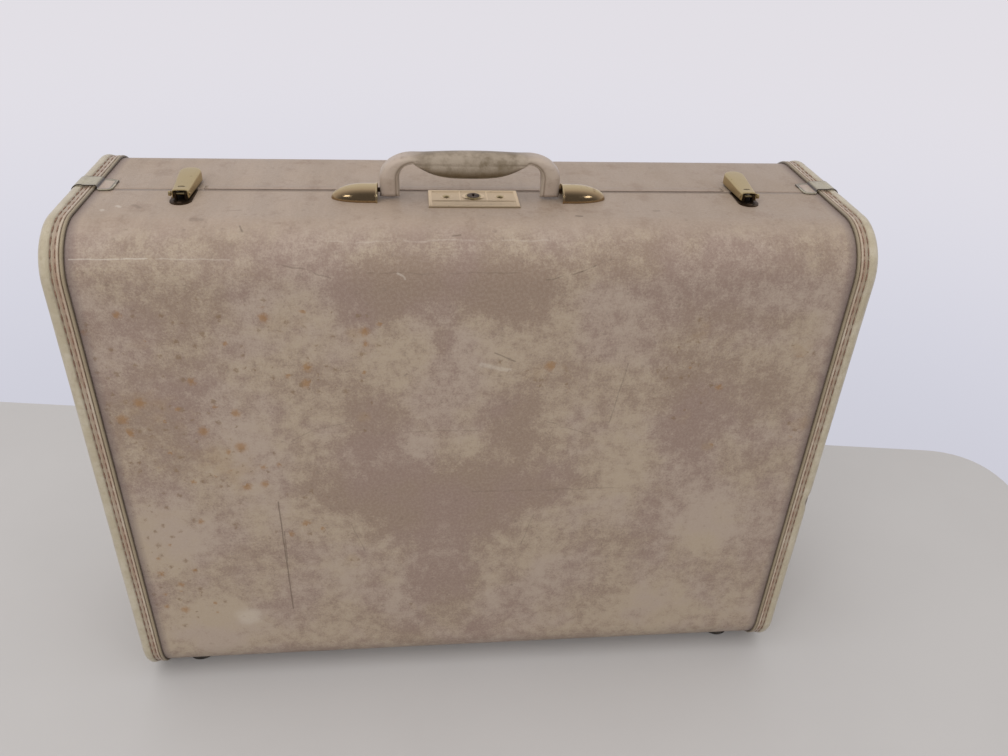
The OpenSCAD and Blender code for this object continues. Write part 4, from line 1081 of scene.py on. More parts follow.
GRIP_LOW, GRIP_HIGH = corners("handle_grip")
GRIP_RISE = 37 * MM
GRIP_X = (GRIP_LOW.x + GRIP_HIGH.x) / 2
GRIP_HALF = (GRIP_HIGH.x - GRIP_LOW.x) / 2
SHOULDER_X = GRIP_HALF - 25 * MM
SHOULDER_Z = 17 * MM
INNER_X = SHOULDER_X - 1 * MM
POST_W = 15 * MM
EYE_R = 5.2 * MM
PIVOT_H = 6.5 * MM
CROWN = 3 * MM
CROWN_X = 56 * MM
SEAM_LINE = 29.1 * MM
SEAM_EDGE = 2.6 * MM
PIN_LOW, PIN_HIGH = corners("handle_pins")
Y_PIVOT = (PIN_LOW.y + PIN_HIGH.y) / 2


def grip_top(x):
    """Height of the strap's arch."""
    return GRIP_RISE - CROWN * (x / CROWN_X) ** 2


def grip_stations():
    """Right half of the grip from its foot to the middle: outer point, inner point, half width,
    how far the seam lies from the inner side, and how much of the station is pad."""
    inner_x = GRIP_HALF - POST_W
    stations = []
    for height in (1.32, 1.5, 1.9, 2.5, 3.3, 4.3, 5.4, 6.5, 8, 10, 12, 14, 16, 18):
        high = height * MM
        if high < PIVOT_H:
            wide = math.sqrt(EYE_R ** 2 - (PIVOT_H - high) ** 2)
        else:
            wide = EYE_R + 4.1 * MM * (high - PIVOT_H) / (15.5 * MM)
        stations.append(((GRIP_HALF, high), (inner_x, high), wide, SEAM_EDGE, 0.0))
    shoulder_top = grip_top(SHOULDER_X)
    for k, angle in enumerate(quarter(16)[1:], 1):
        outer = (SHOULDER_X + (GRIP_HALF - SHOULDER_X) * math.cos(angle),
                 SHOULDER_Z + (shoulder_top - SHOULDER_Z) * math.sin(angle))
        inner = (INNER_X + 11 * MM * math.cos(angle), SHOULDER_Z + 11.4 * MM * math.sin(angle))
        wide = 8.2 * MM + 1.1 * MM * k / 16
        stations.append((outer, inner, wide, SEAM_EDGE, 0.0))
    for k, angle in enumerate(quarter(24)[1:], 1):
        x = INNER_X * (1 - k / 24)
        outer_x = SHOULDER_X * (1 - k / 24)
        belly = 16.4 * MM + 12 * MM * (x / INNER_X) ** 3.2
        wide = 9.3 * MM + 1.0 * MM * math.sin(angle)
        stations.append(((outer_x, grip_top(outer_x)), (x, belly), wide, max(SEAM_EDGE, SEAM_LINE - belly),
                         float(smoothstep(0, 5, k))))
    return stations


class TRAVEL_CASE_OT_grip(bpy.types.Operator):
    """Leather grip: an arched strap with a sewn pad under it"""
    bl_idname = "travel_case.grip"
    bl_label = "Handle grip"

    def execute(self, context):
        half = grip_stations()
        whole = half + [((-o[0], o[1]), (-i[0], i[1]), w, s, p) for o, i, w, s, p in reversed(half[:-1])]
        around = 72
        vertices = []
        flat = []
        groove_shade_and_dirt = []
        rubbed_and_highlight = []
        middle_tone_and_shade = []
        way = 0.0
        last = None
        for outer, inner, wide, seam, pad in whole:
            centre = ((outer[0] + inner[0]) / 2, (outer[1] + inner[1]) / 2)
            reach = math.dist(outer, inner) / 2
            lean = ((outer[0] - inner[0]) / 2 / reach, (outer[1] - inner[1]) / 2 / reach)
            if last:
                way += math.dist(centre, last)
            last = centre
            power = 2 / (2.7 - 0.45 * pad)
            for k in range(around):
                angle = 2 * math.pi * k / around
                rise, spread = (math.copysign(abs(part) ** power, part)
                                for part in (math.cos(angle), math.sin(angle)))
                from_inner = reach * (1 + rise)
                nearby = bell(from_inner, seam, 0.55 * MM) * min(1, abs(spread) * 3)
                sunk = 0.5 * MM * nearby
                swell = 0.0
                if from_inner < seam:
                    swell = 0.3 * MM * math.sin(math.pi * min(1, from_inner / seam)) * abs(spread)
                rough = 0.12 * MM * noise.noise(Vector((way * 90, k / around * 9, 2)))
                across = spread * max(wide * 0.2, wide - sunk + swell + rough)
                vertices.append((GRIP_X + centre[0] + lean[0] * rise * reach, Y_PIVOT + across,
                                 Z_TOP + centre[1] + lean[1] * rise * reach))
                flat.append((way, k / around * 0.06))
                # Darker along the seam, and the pad's underside darker toward the dirty colour: painted shade
                # under the pad, with soiling.
                below = pad * smoothstep(0.0, 9 * MM, seam - from_inner)
                groove_shade_and_dirt.append(min(1, (0.6 - 0.35 * pad) * nearby + 0.8 * below))
                rubbed_and_highlight.append(smoothstep(1.9 * MM, 0.6 * MM, from_inner) * (1 - pad)
                              * min(1, abs(spread) * 1.6))
                # The middle of the grip takes the darker inner tone and the posts keep the paler grip colour:
                # painted shade on the lit top, partly the pad's own darker leather.
                middle_tone_and_shade.append(smoothstep(INNER_X + 10 * MM, INNER_X - 12 * MM, abs(centre[0])))
        piece = add_piece("leather_grip", vertices, tube_faces(len(whole), around), "grip", "handle", flat,
                          {"groove_shade_and_dirt": groove_shade_and_dirt, "rubbed_and_highlight": rubbed_and_highlight, "inner": middle_tone_and_shade})
        turn_outwards(piece)
        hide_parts("handle_grip")
        dress("steel", "handle_core")
        return {"FINISHED"}


CAP_STRAIGHT = 9 * MM
CAP_LIP = 1.7 * MM


class TRAVEL_CASE_OT_caps(bpy.types.Operator):
    """Bullet-shaped brass caps over the handle's pivots"""
    bl_idname = "travel_case.caps"
    bl_label = "Handle caps"

    def execute(self, context):
        sizes = context.scene.case_sizes
        radius = sizes.cap_radius
        lip = [(0.0, 0.15), (0.0, 0.45), (0.35, 0.62), (0.9, 0.5), (1.3, 0.1), (1.7, 0.0)]
        profile = [(way * MM, radius + lift * MM) for way, lift in lip]
        profile += [(CAP_LIP + (CAP_STRAIGHT - CAP_LIP) * k / 5, radius) for k in range(1, 6)]
        profile += [(CAP_STRAIGHT + (sizes.cap_length - CAP_STRAIGHT) * math.sin(angle),
                     max(0.02 * MM, radius * math.cos(angle))) for angle in quarter(24)[1:]]
        around = 48
        for ends, side in ENDS:
            low, high = corners("handle_cap_" + side)
            face = min(abs(low.x), abs(high.x))
            vertices = []
            painted_reflection = []
            for way, wide in profile:
                for k in range(around + 1):
                    angle = math.pi * k / around
                    vertices.append((ends * (face + way), Y_PIVOT + wide * math.cos(angle),
                                     Z_TOP + 0.02 * MM + wide * math.sin(angle)))
                    # Darker on the lower front of each cap: a painted reflection of the brown case.
                    painted_reflection.append(0.5 * smoothstep(1.75, 2.4, angle) * smoothstep(0.4 * MM, 1.6 * MM, way))
            piece = add_piece("brass_cap_" + side, vertices, strip_faces(len(profile), around + 1),
                              "polished", "base", None, {"recess": painted_reflection})
            merge_doubles(piece, 0.01 * MM)
            face_up(piece, around * 8 + around // 2)
            thicken(piece, 0.9 * MM)
            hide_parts("handle_cap_" + side)
        # The handle pins take the dark brass so the gap between cap and post reads dark: painted shade.
        dress("dark", "handle_brackets", "handle_pins")
        return {"FINISHED"}


# The lock


class TRAVEL_CASE_OT_lock(bpy.types.Operator):
    """Stamped lock plate with raised border, cells and the collar round the key cylinder"""
    bl_idname = "travel_case.lock"
    bl_label = "Lock plate"

    def execute(self, context):
        plug_low, plug_high = corners("lock_cylinder")
        plug_y = (plug_low.y + plug_high.y) / 2
        plug_r = (plug_high.y - plug_low.y) / 2
        self.plate(plug_y, plug_r)
        self.collar(plug_y, plug_r)
        dress("plain_aged", "lock_rivets")
        dress("dark", "lock_cylinder")
        dress("steel", "lock_case", "lock_bolt", "lock_staple")
        return {"FINISHED"}

    def plate(self, plug_y, plug_r):
        """Stamped plate with its turned-down rim, open round the key cylinder."""
        low, high = corners("lock_plate")
        columns = 201
        rows = 99
        across = np.linspace(low.x, high.x, columns)
        deep = np.linspace(low.y, high.y, rows)
        x, y = np.meshgrid(across, deep)
        height = self.height(x / MM, (y - low.y) / MM, (plug_y - low.y) / MM)
        recess = list((0.2 * smoothstep(1.45, 1.05, height)).ravel())
        vertices = [(a, b, Z_TOP + c * MM) for a, b, c in zip(x.ravel(), y.ravel(), height.ravel())]
        faces = []
        for face in strip_faces(rows, columns):
            middle = middle_of(vertices, face)
            if math.hypot(middle.x, middle.y - plug_y) > plug_r + 0.5 * MM:
                faces.append(face)
        top = len(vertices)
        rim = [(0, column) for column in range(columns)]
        rim += [(row, columns - 1) for row in range(1, rows)]
        rim += [(rows - 1, column) for column in range(columns - 2, -1, -1)]
        rim += [(row, 0) for row in range(rows - 2, 0, -1)]
        for k, (row, column) in enumerate(rim):
            vertices.append((across[column], deep[row], Z_TOP))
            recess.append(0.6)
            after = (k + 1) % len(rim)
            faces.append((row * columns + column, top + k, top + after,
                          rim[after][0] * columns + rim[after][1]))
        piece = add_piece("stamped_plate", vertices, faces, "aged", "base", None, {"recess": recess})
        face_up(piece)
        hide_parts("lock_plate")

    @staticmethod
    def collar(plug_y, plug_r):
        """Rounded collar round the key cylinder."""
        ring = [(0.08, 0.2), (0.08, 1.7), (0.3, 2.0), (0.9, 2.05), (1.4, 1.85), (1.6, 1.4), (1.6, 0.2)]
        around = 64
        vertices = []
        for out, high in ring:
            radius = plug_r + out * MM
            for k in range(around):
                angle = 2 * math.pi * k / around
                vertices.append((radius * math.cos(angle), plug_y + radius * math.sin(angle),
                                 Z_TOP + high * MM))
        faces = strip_faces(len(ring), around, closed_rows=True, closed_columns=True)
        collar = add_piece("lock_collar", vertices, faces, "plain_aged", "base")
        turn_outwards(collar)

    @staticmethod
    def height(x, y, plug_y):
        """Height of the stamping over the case in mm, y from the plate's front edge."""
        wide = 35.0
        tall = 34.0
        edge = np.minimum(np.minimum(wide - np.abs(x), y), tall - y)
        frame_bar = smoothstep(3.0, 2.3, edge) * 0.6
        rib = smoothstep(0.75, 0.3, np.abs(y - 12.0)) * 0.4
        cell = smoothstep(0.75, 0.3, np.abs(np.abs(x) - 10.5)) * smoothstep(11.4, 12.0, y) * 0.4
        away = np.hypot(np.maximum(np.abs(x) - 3.2, 0), y - plug_y)
        oval = smoothstep(6.0, 5.4, away) * 0.6
        seat = np.hypot(np.abs(x) - 21.0, y - plug_y)
        ring = smoothstep(0.9, 0.3, np.abs(seat - 4.2)) * 0.2
        strip = smoothstep(2.9, 3.5, y) * smoothstep(11.4, 10.8, y) * smoothstep(31.9, 31.3, np.abs(x))
        raised = np.maximum.reduce([frame_bar, rib, cell, oval, ring])
        return 1.0 + raised + 0.12 * strip - smoothstep(0.7, 0.0, edge) * 0.55


# The latches

LEVER_TAIL = 2.2 * MM
LEVER_R = 8.2 * MM
LEVER_NARROW = 6.0 * MM
LEVER_RISE = 2.0 * MM
LEVER_EDGE = 1.9 * MM
LEVER_WALL = 0.8 * MM


def lever_outline(end):
    """A lever's plan from its left tail round the wide end, with the axis point of each place."""
    steps = 14

    def flank(share):
        return LEVER_NARROW + (LEVER_R - LEVER_NARROW) * share, -LEVER_TAIL + (end + LEVER_TAIL) * share

    left = [flank(k / steps) for k in range(steps)]
    right = [flank(1 - k / steps) for k in range(1, steps + 1)]
    angles = [math.pi - math.pi * k / 28 for k in range(29)]
    return ([((-x, y), (0, y)) for x, y in left]
            + [((LEVER_R * math.cos(a), end + LEVER_R * math.sin(a)), (0, end)) for a in angles]
            + [((x, y), (0, y)) for x, y in right])


class TRAVEL_CASE_OT_latches(bpy.types.Operator):
    """Snap levers of both latches, open at the narrow end, with their slot and tooth"""
    bl_idname = "travel_case.latches"
    bl_label = "Latch levers"

    def execute(self, context):
        tall = context.scene.case_sizes.lever_height
        rings = [(0.15 * MM, 1.8 * MM), (0.0, 2.3 * MM), (0.0, 4.5 * MM), (0.05 * MM, tall - LEVER_EDGE)]
        rings += [(0.05 * MM + LEVER_EDGE * (1 - math.cos(angle)),
                   tall - LEVER_EDGE + (LEVER_EDGE - 0.25 * MM) * math.sin(angle))
                  for angle in quarter(5)[1:]]
        rings += [(2.6 * MM, tall - 0.17 * MM), (4.2 * MM, tall - 0.07 * MM), (6.0 * MM, tall - 0.01 * MM),
                  (None, tall)]
        for side in ("left", "right"):
            node = "latch_lever_" + side
            low, high = corners(node)
            middle_x = (low.x + high.x) / 2
            pivot_y = low.y + LEVER_TAIL
            end = high.y - pivot_y - LEVER_R
            plan = lever_outline(end)
            vertices = []
            for inset, rise in rings:
                for (x, y), (axis_x, axis_y) in plan:
                    gap = math.hypot(x - axis_x, y - axis_y)
                    share = 1.0 if inset is None else min(1.0, inset / gap)
                    climb = LEVER_RISE * float(smoothstep(0, end, y) * smoothstep(2.3 * MM, tall, rise))
                    vertices.append((middle_x + x + (axis_x - x) * share, pivot_y + y + (axis_y - y) * share,
                                     Z_TOP + rise + climb))
            piece = add_piece("snap_lever_" + side, vertices, strip_faces(len(rings), len(plan)),
                              "plain_aged", "latch_" + side)
            merge_doubles(piece, 0.004 * MM)
            face_up(piece, max(piece.data.polygons, key=lambda face: face.center.z).index)
            piece.data.materials.append(look("dark"))
            thicken(piece, LEVER_WALL).material_offset = 1
            self.cut_slot(piece, (middle_x, pivot_y + 5.25 * MM, Z_TOP + tall))
            tooth = (middle_x, pivot_y + end + 2.4 * MM + 0.8 * MM,
                     Z_TOP + (1.8 * MM + tall - 0.6 * MM) / 2)
            tooth_size = (8 * MM, 1.6 * MM, tall - 2.4 * MM)
            rework(piece, lambda work: add_block(work, tooth, tooth_size))
            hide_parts(node)
        dress("dark", "latch_plate_left", "latch_plate_right", "latch_catches")
        dress("plain_aged", "latch_pins")
        return {"FINISHED"}

    @staticmethod
    def cut_slot(piece, centre):
        """Cuts the small cross slot near the pivot and applies the wall."""
        work = bmesh.new()
        add_block(work, centre, (4.8 * MM, 1.3 * MM, 4 * MM))
        mesh = bpy.data.meshes.new("slot_cutter")
        work.to_mesh(mesh)
        work.free()
        cutter = new_object("slot_cutter", mesh)
        modify(piece, "BOOLEAN", operation="DIFFERENCE", object=cutter, solver="EXACT")
        depsgraph = bpy.context.evaluated_depsgraph_get()
        made = bpy.data.meshes.new_from_object(piece.evaluated_get(depsgraph))
        piece.modifiers.clear()
        piece.data = made
        bpy.data.objects.remove(cutter)


# Clips and the edge band

# A clip's tab on the lid's top, from its inner end to its shell over the binding
TAB_X = 274.2 * MM
SHELL_X = 286 * MM
SHELL_FROM_X = 296.4 * MM
TAB_REACH = 4.9 * MM
TAB_CORNER = 4 * MM
CLIP_DEPTH = 18.9 * MM


class TRAVEL_CASE_OT_clips(bpy.types.Operator):
    """Clips over the lid's binding ends, and the raised band along the lid's edge"""
    bl_idname = "travel_case.clips"
    bl_label = "Clips and edge band"

    def execute(self, context):
        sizes = context.scene.case_sizes
        line = [(0.45, x) for x in (274.2, 274.6, 275.2, 276, 277, 278.4, 280, 282, 284, 285.2)]
        line += [(0.7, 285.8), (1.5, 286.3), (2.3, 286.8), (2.62, 287.5), (2.66, 289), (2.62, 291),
                 (2.6, 293), (2.62, 295)]
        line = [(out * MM, x * MM) for out, x in line]
        line += roll_arc(sizes, sizes.roll_radius + 0.45 * MM, SHELL_FROM_X)
        outermost = line[-1][1]
        line += [(out * MM, outermost) for out in (-6, -10, -14.4, -15)]
        shares = [0.5 - 0.5 * math.cos(math.pi * (k / 24)) for k in range(25)]
        for ends, side in ENDS:
            vertices = []
            groove_shade_and_dirt = []
            inner = []
            for out, x in line:
                tab = x < SHELL_X
                start, stop = self.reach(x, tab)
                for share in shares:
                    y = start + (stop - start) * share
                    over = 0.32 * MM * float(smoothstep(Y_BACK_EDGE + 1 * MM, Y_BACK_EDGE - 1 * MM, y))
                    border = min(share, 1 - share) * (stop - start)
                    rim = 0.0
                    # Darker at the strap's bend, just inside the tab's rim and along its edges: painted shade
                    # along the outlines, with soiling.
                    dirt_and_shade = smoothstep(1.2 * MM, 0.4 * MM, abs(x - SHELL_X))
                    if tab:
                        border = min(border, x - TAB_X)
                        rim = 0.28 * MM * float(smoothstep(1.6 * MM, 0.4 * MM, border))
                        dirt_and_shade = max(dirt_and_shade, 0.9 * bell(border, 1.9 * MM, 0.6 * MM))
                    if not tab or (share > 0.5 and border < 1.2 * MM):
                        dirt_and_shade = max(dirt_and_shade, 0.9 * smoothstep(0.9 * MM, 0.3 * MM, border))
                    vertices.append((ends * x, y, Z_TOP + out + over + rim))
                    groove_shade_and_dirt.append(dirt_and_shade)
                    inner.append(smoothstep(1.6 * MM, 2.6 * MM, border) if tab else 0.0)
            piece = add_piece("binding_clip_" + side, vertices, strip_faces(len(line), len(shares)), "clip",
                              "lid", None, {"groove_shade_and_dirt": groove_shade_and_dirt, "inner": inner})
            face_up(piece)
            thicken(piece, 0.8 * MM, 0.0)
            modify(piece, "BEVEL", width=0.25 * MM, segments=2, limit_method="ANGLE", angle_limit=0.9)
            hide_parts("binding_clips")
        self.band()
        return {"FINISHED"}

    @staticmethod
    def reach(x, tab):
        """Front and back edge of a clip at x. Its tab has a rounded end that reaches over the seam."""
        start = Y_BACK_EDGE
        stop = Y_BACK_EDGE + CLIP_DEPTH
        if tab:
            start -= TAB_REACH * float(smoothstep(SHELL_X, 284.6 * MM, x))
            curve = max(0.0, TAB_CORNER - (x - TAB_X))
            start += TAB_CORNER - math.sqrt(max(0.0, TAB_CORNER ** 2 - curve ** 2))
            stop -= 2.5 * MM * max(0.0, 1 - (x - TAB_X) / (6 * MM))
        return start, stop

    @staticmethod
    def band():
        """Raised band along the top of the lid's edge."""
        low, high = corners("edge_band")
        deep = high.y - low.y
        thick = high.z - low.z
        section = [(0.0, 0.0), (0.0, 0.55), (0.03, 0.85), (0.09, 1.0), (0.5, 1.04), (0.91, 1.0), (0.97, 0.85),
                   (1.0, 0.55), (1.0, 0.0)]
        stations = np.linspace(low.x, high.x, 120)
        vertices = []
        flat = []
        for x in stations:
            at_end = x in (stations[0], stations[-1])
            inset = 0.5 * MM if at_end else 0.0
            for across, rise in section:
                y = low.y + inset + (deep - 2 * inset) * across
                vertices.append((x, y, low.z + thick * rise * (0.6 if at_end else 1)))
                flat.append((x, 0.02 - deep * across))
        # The band's edges darken strongly and its top a little: painted shade at the edges, with soiling.
        shade_and_grime = [0.8 if across in (0.0, 1.0) else 0.12 for _ in stations for across, _ in section]
        count = len(vertices)
        piece = add_piece("raised_band", vertices, tube_faces(len(stations), len(section)), "lid_covering",
                          "lid", flat, {"pale": [0.1] * count, "rust": [0.0] * count, "top": [1.0] * count,
                                        "shade_and_grime": shade_and_grime})
        turn_outwards(piece)
        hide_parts("edge_band")


# The inside

# Half the width of a strap's anchor plate, and the pocket's cloth for each length of its mouth
ANCHOR_HALF = 14 * MM
FULLNESS = 1.12


def sheet_piece(name, rows, columns, spot, finish, body, thickness, keep=None):
    """Cloth as a grid with an even wall. A spot is a vertex and its place on the flat cloth, and keep
    says by a face's middle whether it stays."""
    spots = [spot(row, column) for row in rows for column in columns]
    vertices = [vertex for vertex, _ in spots]
    faces = strip_faces(len(rows), len(columns))
    if keep:
        faces = [face for face in faces if keep(middle_of(vertices, face))]
    piece = add_piece(name, vertices, faces, finish, body, [flat for _, flat in spots])
    thicken(piece, thickness, 0.0)
    return piece


class TRAVEL_CASE_OT_lining(bpy.types.Operator):
    """Cloth lining of both halves"""
    bl_idname = "travel_case.lining"
    bl_label = "Lining"

    def execute(self, context):
        for front in (True, False):
            self.wrap(front)
            for ends, side in ENDS:
                self.end(front, ends, side)
        return {"FINISHED"}

    @staticmethod
    def wrap(front):
        """Long piece that follows the wrap, cut out round the lock case."""
        node = "front_lining" if front else "back_lining"
        _, high = corners(node)
        case_low, case_high = corners("lock_case")
        gap = 0.4 * MM
        left = case_low.x - gap
        right = case_high.x + gap
        near = case_low.y - gap
        under_top = Z_TOP - 7 * MM
        stations = wrap_way(front, 6 * MM, 10, WALL_T + LINING_T / 2, (near,) if front else ())
        inner = high.x - LINING_T
        columns = sorted(set(np.linspace(-inner, inner, 91)) | {left, right})

        def spot(station, x):
            y, z, ny, nz, way = station
            wave = 0.22 * MM * noise.noise(Vector((x * 18, way * 18, 4 + front)))
            return (x, y - ny * wave, z - nz * wave), (x, way)

        def keep(centre):
            by_case = left < centre.x < right and centre.z > under_top and centre.y > near
            return not (front and by_case)

        piece = sheet_piece(node.replace("back", "lid") + "_wrap", stations, columns, spot, "lining",
                            body_of(front), 1.0 * MM, keep)
        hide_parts(node)

    @staticmethod
    def end(front, ends, side):
        """Flat piece on one end board."""
        node = "front_lining" if front else "back_lining"
        _, high = corners(node)
        inset = WALL_T + 0.15 * MM
        x = ends * (high.x - LINING_T / 2)
        direction, edge, face = half_planes(front)
        face -= direction * inset
        radius = CORNER_R - inset
        tall = Z_TOP - Z_BOT - 2 * CORNER_R
        rows = [(Z_TOP - CORNER_R + radius * math.cos(angle),
                 face - direction * radius * (1 - math.sin(angle))) for angle in quarter(12)]
        rows += [(Z_TOP - CORNER_R - tall * k / 60, face) for k in range(1, 61)]
        rows += [(Z_BOT + CORNER_R - radius * math.sin(angle),
                  face - direction * radius * (1 - math.cos(angle))) for angle in quarter(12)[1:]]

        def spot(row, k):
            z, far = row
            y = edge + (far - edge) * k / 15
            wave = 0.15 * MM * noise.noise(Vector((y * 20, z * 20, 7)))
            return (x + wave, y, z), (y, z)

        name = f"{'front' if front else 'lid'}_lining_end_{side}"
        piece = sheet_piece(name, rows, range(16), spot, "lining", body_of(front), 0.9 * MM)
        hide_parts(node)


class TRAVEL_CASE_OT_straps(bpy.types.Operator):
    """Packing straps on the front panel"""
    bl_idname = "travel_case.straps"
    bl_label = "Packing straps"

    def execute(self, context):
        for node in ("straps_upper", "straps_lower"):
            for ends, side in ENDS:
                self.strap(node, ends, side)
        dress("plain_aged", "strap_buckles", "strap_anchors")
        return {"FINISHED"}

    @staticmethod
    def strap(node, ends, side):
        """One webbing strap with a slight bow and rolled edges."""
        low, high = corners(node)
        _, anchor_high = corners("strap_anchors")
        middle = (anchor_high.x - ANCHOR_HALF) * ends
        half = high.x - abs(middle)
        middle_y = (low.y + high.y) / 2
        last = 59

        def spot(row, share):
            x = middle + half * share
            z = low.z + (high.z - low.z) * row / last
            bow = 0.25 * MM * math.sin(math.pi * row / last)
            cup = 0.25 * MM * share * share
            return (x, middle_y + bow - cup, z), (x, z)

        piece = sheet_piece(f"{node}_{side}", range(last + 1), [k / 4 - 1 for k in range(9)], spot, "strap",
                            "base", 1.2 * MM)
        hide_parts(node)


class TRAVEL_CASE_OT_pocket(bpy.types.Operator):
    """Gathered cloth pocket with its elastic, on the lid's back wall"""
    bl_idname = "travel_case.pocket"
    bl_label = "Lid pocket"

    def execute(self, context):
        self.gathers(context.scene.case_sizes.pocket_fold)
        self.elastic()
        return {"FINISHED"}

    @staticmethod
    def gathers(fold):
        """Cloth that bellies out of its seams, in waves that grow towards the mouth."""
        low, high = corners("lid_pocket")
        wall = Y_BACK - WALL_T - LINING_T
        deep = wall - low.y

        def spot(tall, across):
            x = low.x + (high.x - low.x) * across
            z = low.z + (high.z - low.z) * tall
            gathers = float(smoothstep(0.35, 1.0, tall)) + 0.12
            sides = float(smoothstep(0.0, 0.035, across) * smoothstep(1.0, 0.965, across))
            foot = float(smoothstep(0.0, 0.12, tall))
            belly = 0.80 + 0.2 * math.sin(math.pi * across)
            ripple = noise.noise(Vector((x * 95, tall * 1.6, 3))) + 0.5 * noise.noise(
                Vector((x * 230, tall * 2.6, 9)))
            fullness = deep * (0.12 + 0.88 * foot) * sides * belly
            y = wall - 0.6 * MM - fullness * 0.88 - sides * gathers * fold * 0.55 * ripple
            return (x, min(wall - 0.4 * MM, max(y, low.y + 0.2 * MM)), z), (x * FULLNESS, z)

        piece = sheet_piece("gathered_pocket", [k / 63 for k in range(64)], [k / 419 for k in range(420)],
                            spot, "lining", "lid", 0.7 * MM)
        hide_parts("lid_pocket")

    @staticmethod
    def elastic():
        """Ribbed band along the pocket's mouth."""
        low, high = corners("pocket_elastic")
        middle = (low.y + high.y) / 2
        last = 519

        def spot(tall, column):
            x = low.x + (high.x - low.x) * column / last
            z = low.z + (high.z - low.z) * tall
            rib = 0.22 * MM * math.sin(x * 2200) * (0.5 + 0.5 * math.sin(math.pi * tall))
            roll = 0.25 * MM * math.cos(math.pi * (tall - 0.5)) ** 2
            return (x, middle + rib - roll * 0.5, z), (x, z)

        piece = sheet_piece("pocket_band", [k / 8 for k in range(9)], range(last + 1), spot, "elastic", "lid",
                            0.6 * MM)
        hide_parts("pocket_elastic")


class TRAVEL_CASE_OT_carcass(bpy.types.Operator):
    """Materials of the boards, rim frames, hinges, rivets and feet"""
    bl_idname = "travel_case.carcass"
    bl_label = "Boards, frames and hinges"

    def execute(self, context):
        dress("fibreboard", "front_board", "back_board")
        dress("plywood", "front_end_board_left", "front_end_board_right", "back_end_board_left",
              "back_end_board_right")
        dress("steel", "front_frame", "back_frame", "hinge_pins")
        dress("dark", "hinge_leaves_front", "hinge_leaves_back", "front_rivets", "back_rivets")
        dress("rubber", "front_feet", "back_feet")
        return {"FINISHED"}


# The stage

# Name, place, target, size and watts of each lamp
LAMPS = [
    ("ceiling", (-0.35, -0.45, 2.3), (0, 0, 0.3), 2.4, 22),
    ("window", (-1.2, -2.6, 1.6), (0, 0, 0.2), 1.9, 25),
    ("door_left", (-1.5, -1.7, 1.7), (0, 0, 0.3), 0.45, 3),
    ("door_right", (1.5, -1.7, 1.7), (0, 0, 0.3), 0.45, 3),
]
TABLE_T = 0.03

# The camera's place, turns and lens, fitted to the viewing angle
CAMERA_SPOT = (-0.04612, -0.66037, 0.70079)
CAMERA_PITCH = -0.5696
CAMERA_ROLL = -0.0483
CAMERA_YAW = -0.1204
CAMERA_LENS = 30.617


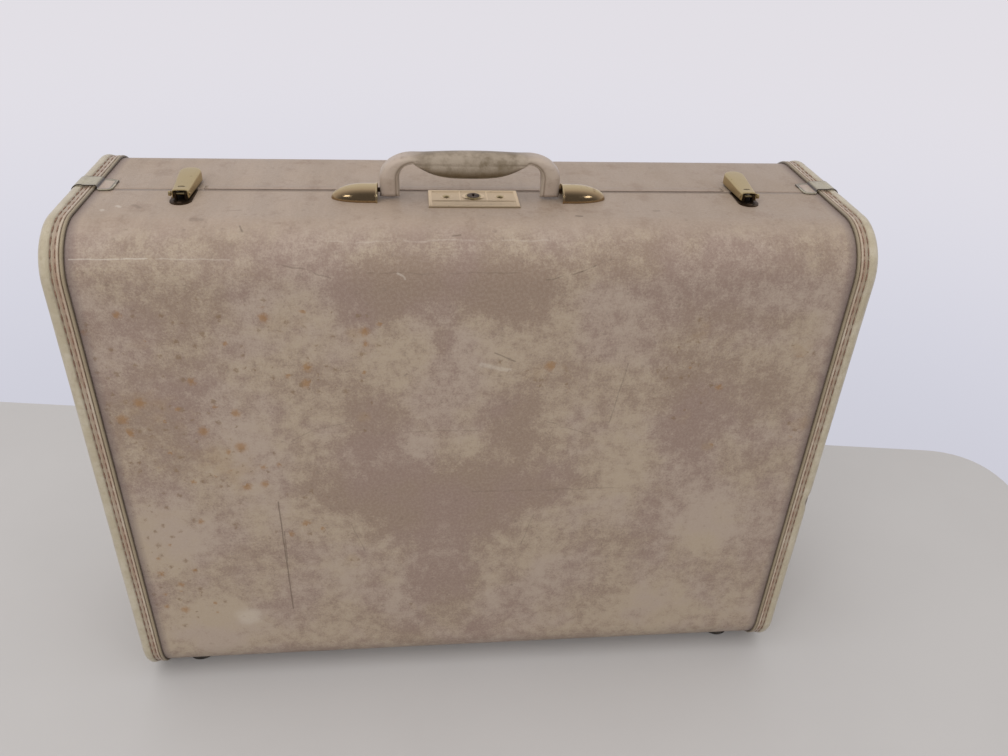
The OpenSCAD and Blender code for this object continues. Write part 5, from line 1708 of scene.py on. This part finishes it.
class TRAVEL_CASE_OT_stage(bpy.types.Operator):
    """Pale table, soft studio light and the camera"""
    bl_idname = "travel_case.stage"
    bl_label = "Stage"

    def execute(self, context):
        scene = context.scene
        mesh = bpy.data.meshes.new("table")
        points = self.table_outline()
        drop = [(x, y, -TABLE_T) for x, y, _ in points]
        count = len(points)
        faces = [tuple(range(count))]
        faces += [(k, k + count, (k + 1) % count + count, (k + 1) % count) for k in range(count)]
        mesh.from_pydata(points + drop, [], faces)
        mesh.materials.append(look("table"))
        table = new_object("table", mesh)
        self.world(scene.case_colours.wall)
        for lamp in LAMPS:
            self.lamp(*lamp)
        self.camera()
        scene.view_settings.view_transform = "Standard"
        return {"FINISHED"}

    @staticmethod
    def table_outline():
        """Table top with a rounded far right-hand corner; its far edge runs a little askew."""
        corner = Vector((0.724, 0.214))
        radius = 0.075
        left = Vector((-1.9, 0.55))
        along = (corner - left).normalized()
        back = Vector((0.03, -1)).normalized()
        points = [(-1.9, -2.4, 0), (0.80, -2.4, 0)]
        start = corner + back * radius
        end = corner - along * radius
        for k in range(11):
            share = k / 10
            spot = start.lerp(corner, share).lerp(corner.lerp(end, share), share)
            points.append((spot.x, spot.y, 0))
        points.append((left.x, left.y, 0))
        return points

    @staticmethod
    def world(colour):
        """Wall colour for what the camera and the metals see, plain soft light for the rest."""
        world = bpy.data.worlds.new("room")
        bpy.context.scene.world = world
        world.use_nodes = True
        nodes = Nodes(world.node_tree)
        nodes.tree.nodes.clear()
        path = nodes.add("ShaderNodeLightPath")
        seen = nodes.calc("MAXIMUM", path["Is Camera Ray"],
                          nodes.calc("MAXIMUM", path["Is Glossy Ray"], path["Is Transmission Ray"]))
        light = nodes.add("ShaderNodeBackground", {"Color": (1.0, 0.985, 0.97, 1), "Strength": 0.7})
        _, deep, high = nodes.split(nodes.add("ShaderNodeTexCoord")["Generated"])
        low = nodes.ranged(high, -0.62, -0.2, 0.8, 1.0)
        room = nodes.ranged(deep, -0.75, 0.1, 0.2, 1.0)
        room = nodes.calc("MAXIMUM", room, path["Is Camera Ray"])
        cool = [c * share for c, share in zip(colour, (0.98, 1.01, 1.07))]
        tint = nodes.mix(nodes.ranged(high, -0.5, -0.15), cool, colour)
        wall = nodes.add("ShaderNodeBackground", {"Color": tint, "Strength": nodes.times(low, room)})
        mixed = nodes.add("ShaderNodeMixShader", {0: seen, 1: light[0], 2: wall[0]})
        nodes.add("ShaderNodeOutputWorld", {0: mixed[0]})

    @staticmethod
    def lamp(name, spot, target, size, watts):
        """A square lamp. The two large ones are left out of reflections."""
        light = bpy.data.lights.new(name, "AREA")
        light.shape = "SQUARE"
        light.size = size
        light.energy = watts
        lamp = new_object(name, light)
        lamp.location = spot
        lamp.rotation_euler = (Vector(target) - Vector(spot)).to_track_quat("-Z", "Y").to_euler()
        lamp.visible_glossy = size < 1

    @staticmethod
    def camera():
        """Camera at the viewing place, looking down at the case a little from the left."""
        data = bpy.data.cameras.new("camera")
        data.sensor_fit = "HORIZONTAL"
        data.sensor_width = 36
        data.lens = CAMERA_LENS
        data.clip_start = 0.01
        camera = new_object("camera", data)
        turn = (Matrix.Rotation(CAMERA_YAW, 3, "Z") @ Matrix.Rotation(CAMERA_PITCH, 3, "X")
                @ Matrix.Rotation(CAMERA_ROLL, 3, "Y"))
        axes = Matrix((turn.col[0], turn.col[2], -turn.col[1])).transposed()
        camera.matrix_world = Matrix.Translation(CAMERA_SPOT) @ axes.to_4x4()
        bpy.context.scene.camera = camera


class TRAVEL_CASE_PT_panel(bpy.types.Panel):
    """Sidebar panel with a button for each piece or group of pieces"""
    bl_idname = "TRAVEL_CASE_PT_panel"
    bl_label = "Travel case"
    bl_space_type = "VIEW_3D"
    bl_region_type = "UI"
    bl_category = "Travel case"

    def draw(self, context):
        for step in STEPS:
            self.layout.operator(step.bl_idname)
        for settings in (context.scene.case_sizes, context.scene.case_colours):
            box = self.layout.box()
            for name in settings.__annotations__:
                box.prop(settings, name)


STEPS = (
    TRAVEL_CASE_OT_covering,
    TRAVEL_CASE_OT_bindings,
    TRAVEL_CASE_OT_piping,
    TRAVEL_CASE_OT_stitches,
    TRAVEL_CASE_OT_grip,
    TRAVEL_CASE_OT_caps,
    TRAVEL_CASE_OT_lock,
    TRAVEL_CASE_OT_latches,
    TRAVEL_CASE_OT_clips,
    TRAVEL_CASE_OT_lining,
    TRAVEL_CASE_OT_straps,
    TRAVEL_CASE_OT_pocket,
    TRAVEL_CASE_OT_carcass,
    TRAVEL_CASE_OT_stage,
)
CLASSES = (CaseSizes, CaseColours, *STEPS, TRAVEL_CASE_PT_panel)


def register():
    for item in CLASSES:
        bpy.utils.register_class(item)
    bpy.types.Scene.case_sizes = bpy.props.PointerProperty(type=CaseSizes)
    bpy.types.Scene.case_colours = bpy.props.PointerProperty(type=CaseColours)


def unregister():
    del bpy.types.Scene.case_colours
    del bpy.types.Scene.case_sizes
    for item in reversed(CLASSES):
        bpy.utils.unregister_class(item)


def main():
    register()
    for step in STEPS:
        section, name = step.bl_idname.split(".")
        getattr(getattr(bpy.ops, section), name)()


if __name__ == "__main__":
    main()
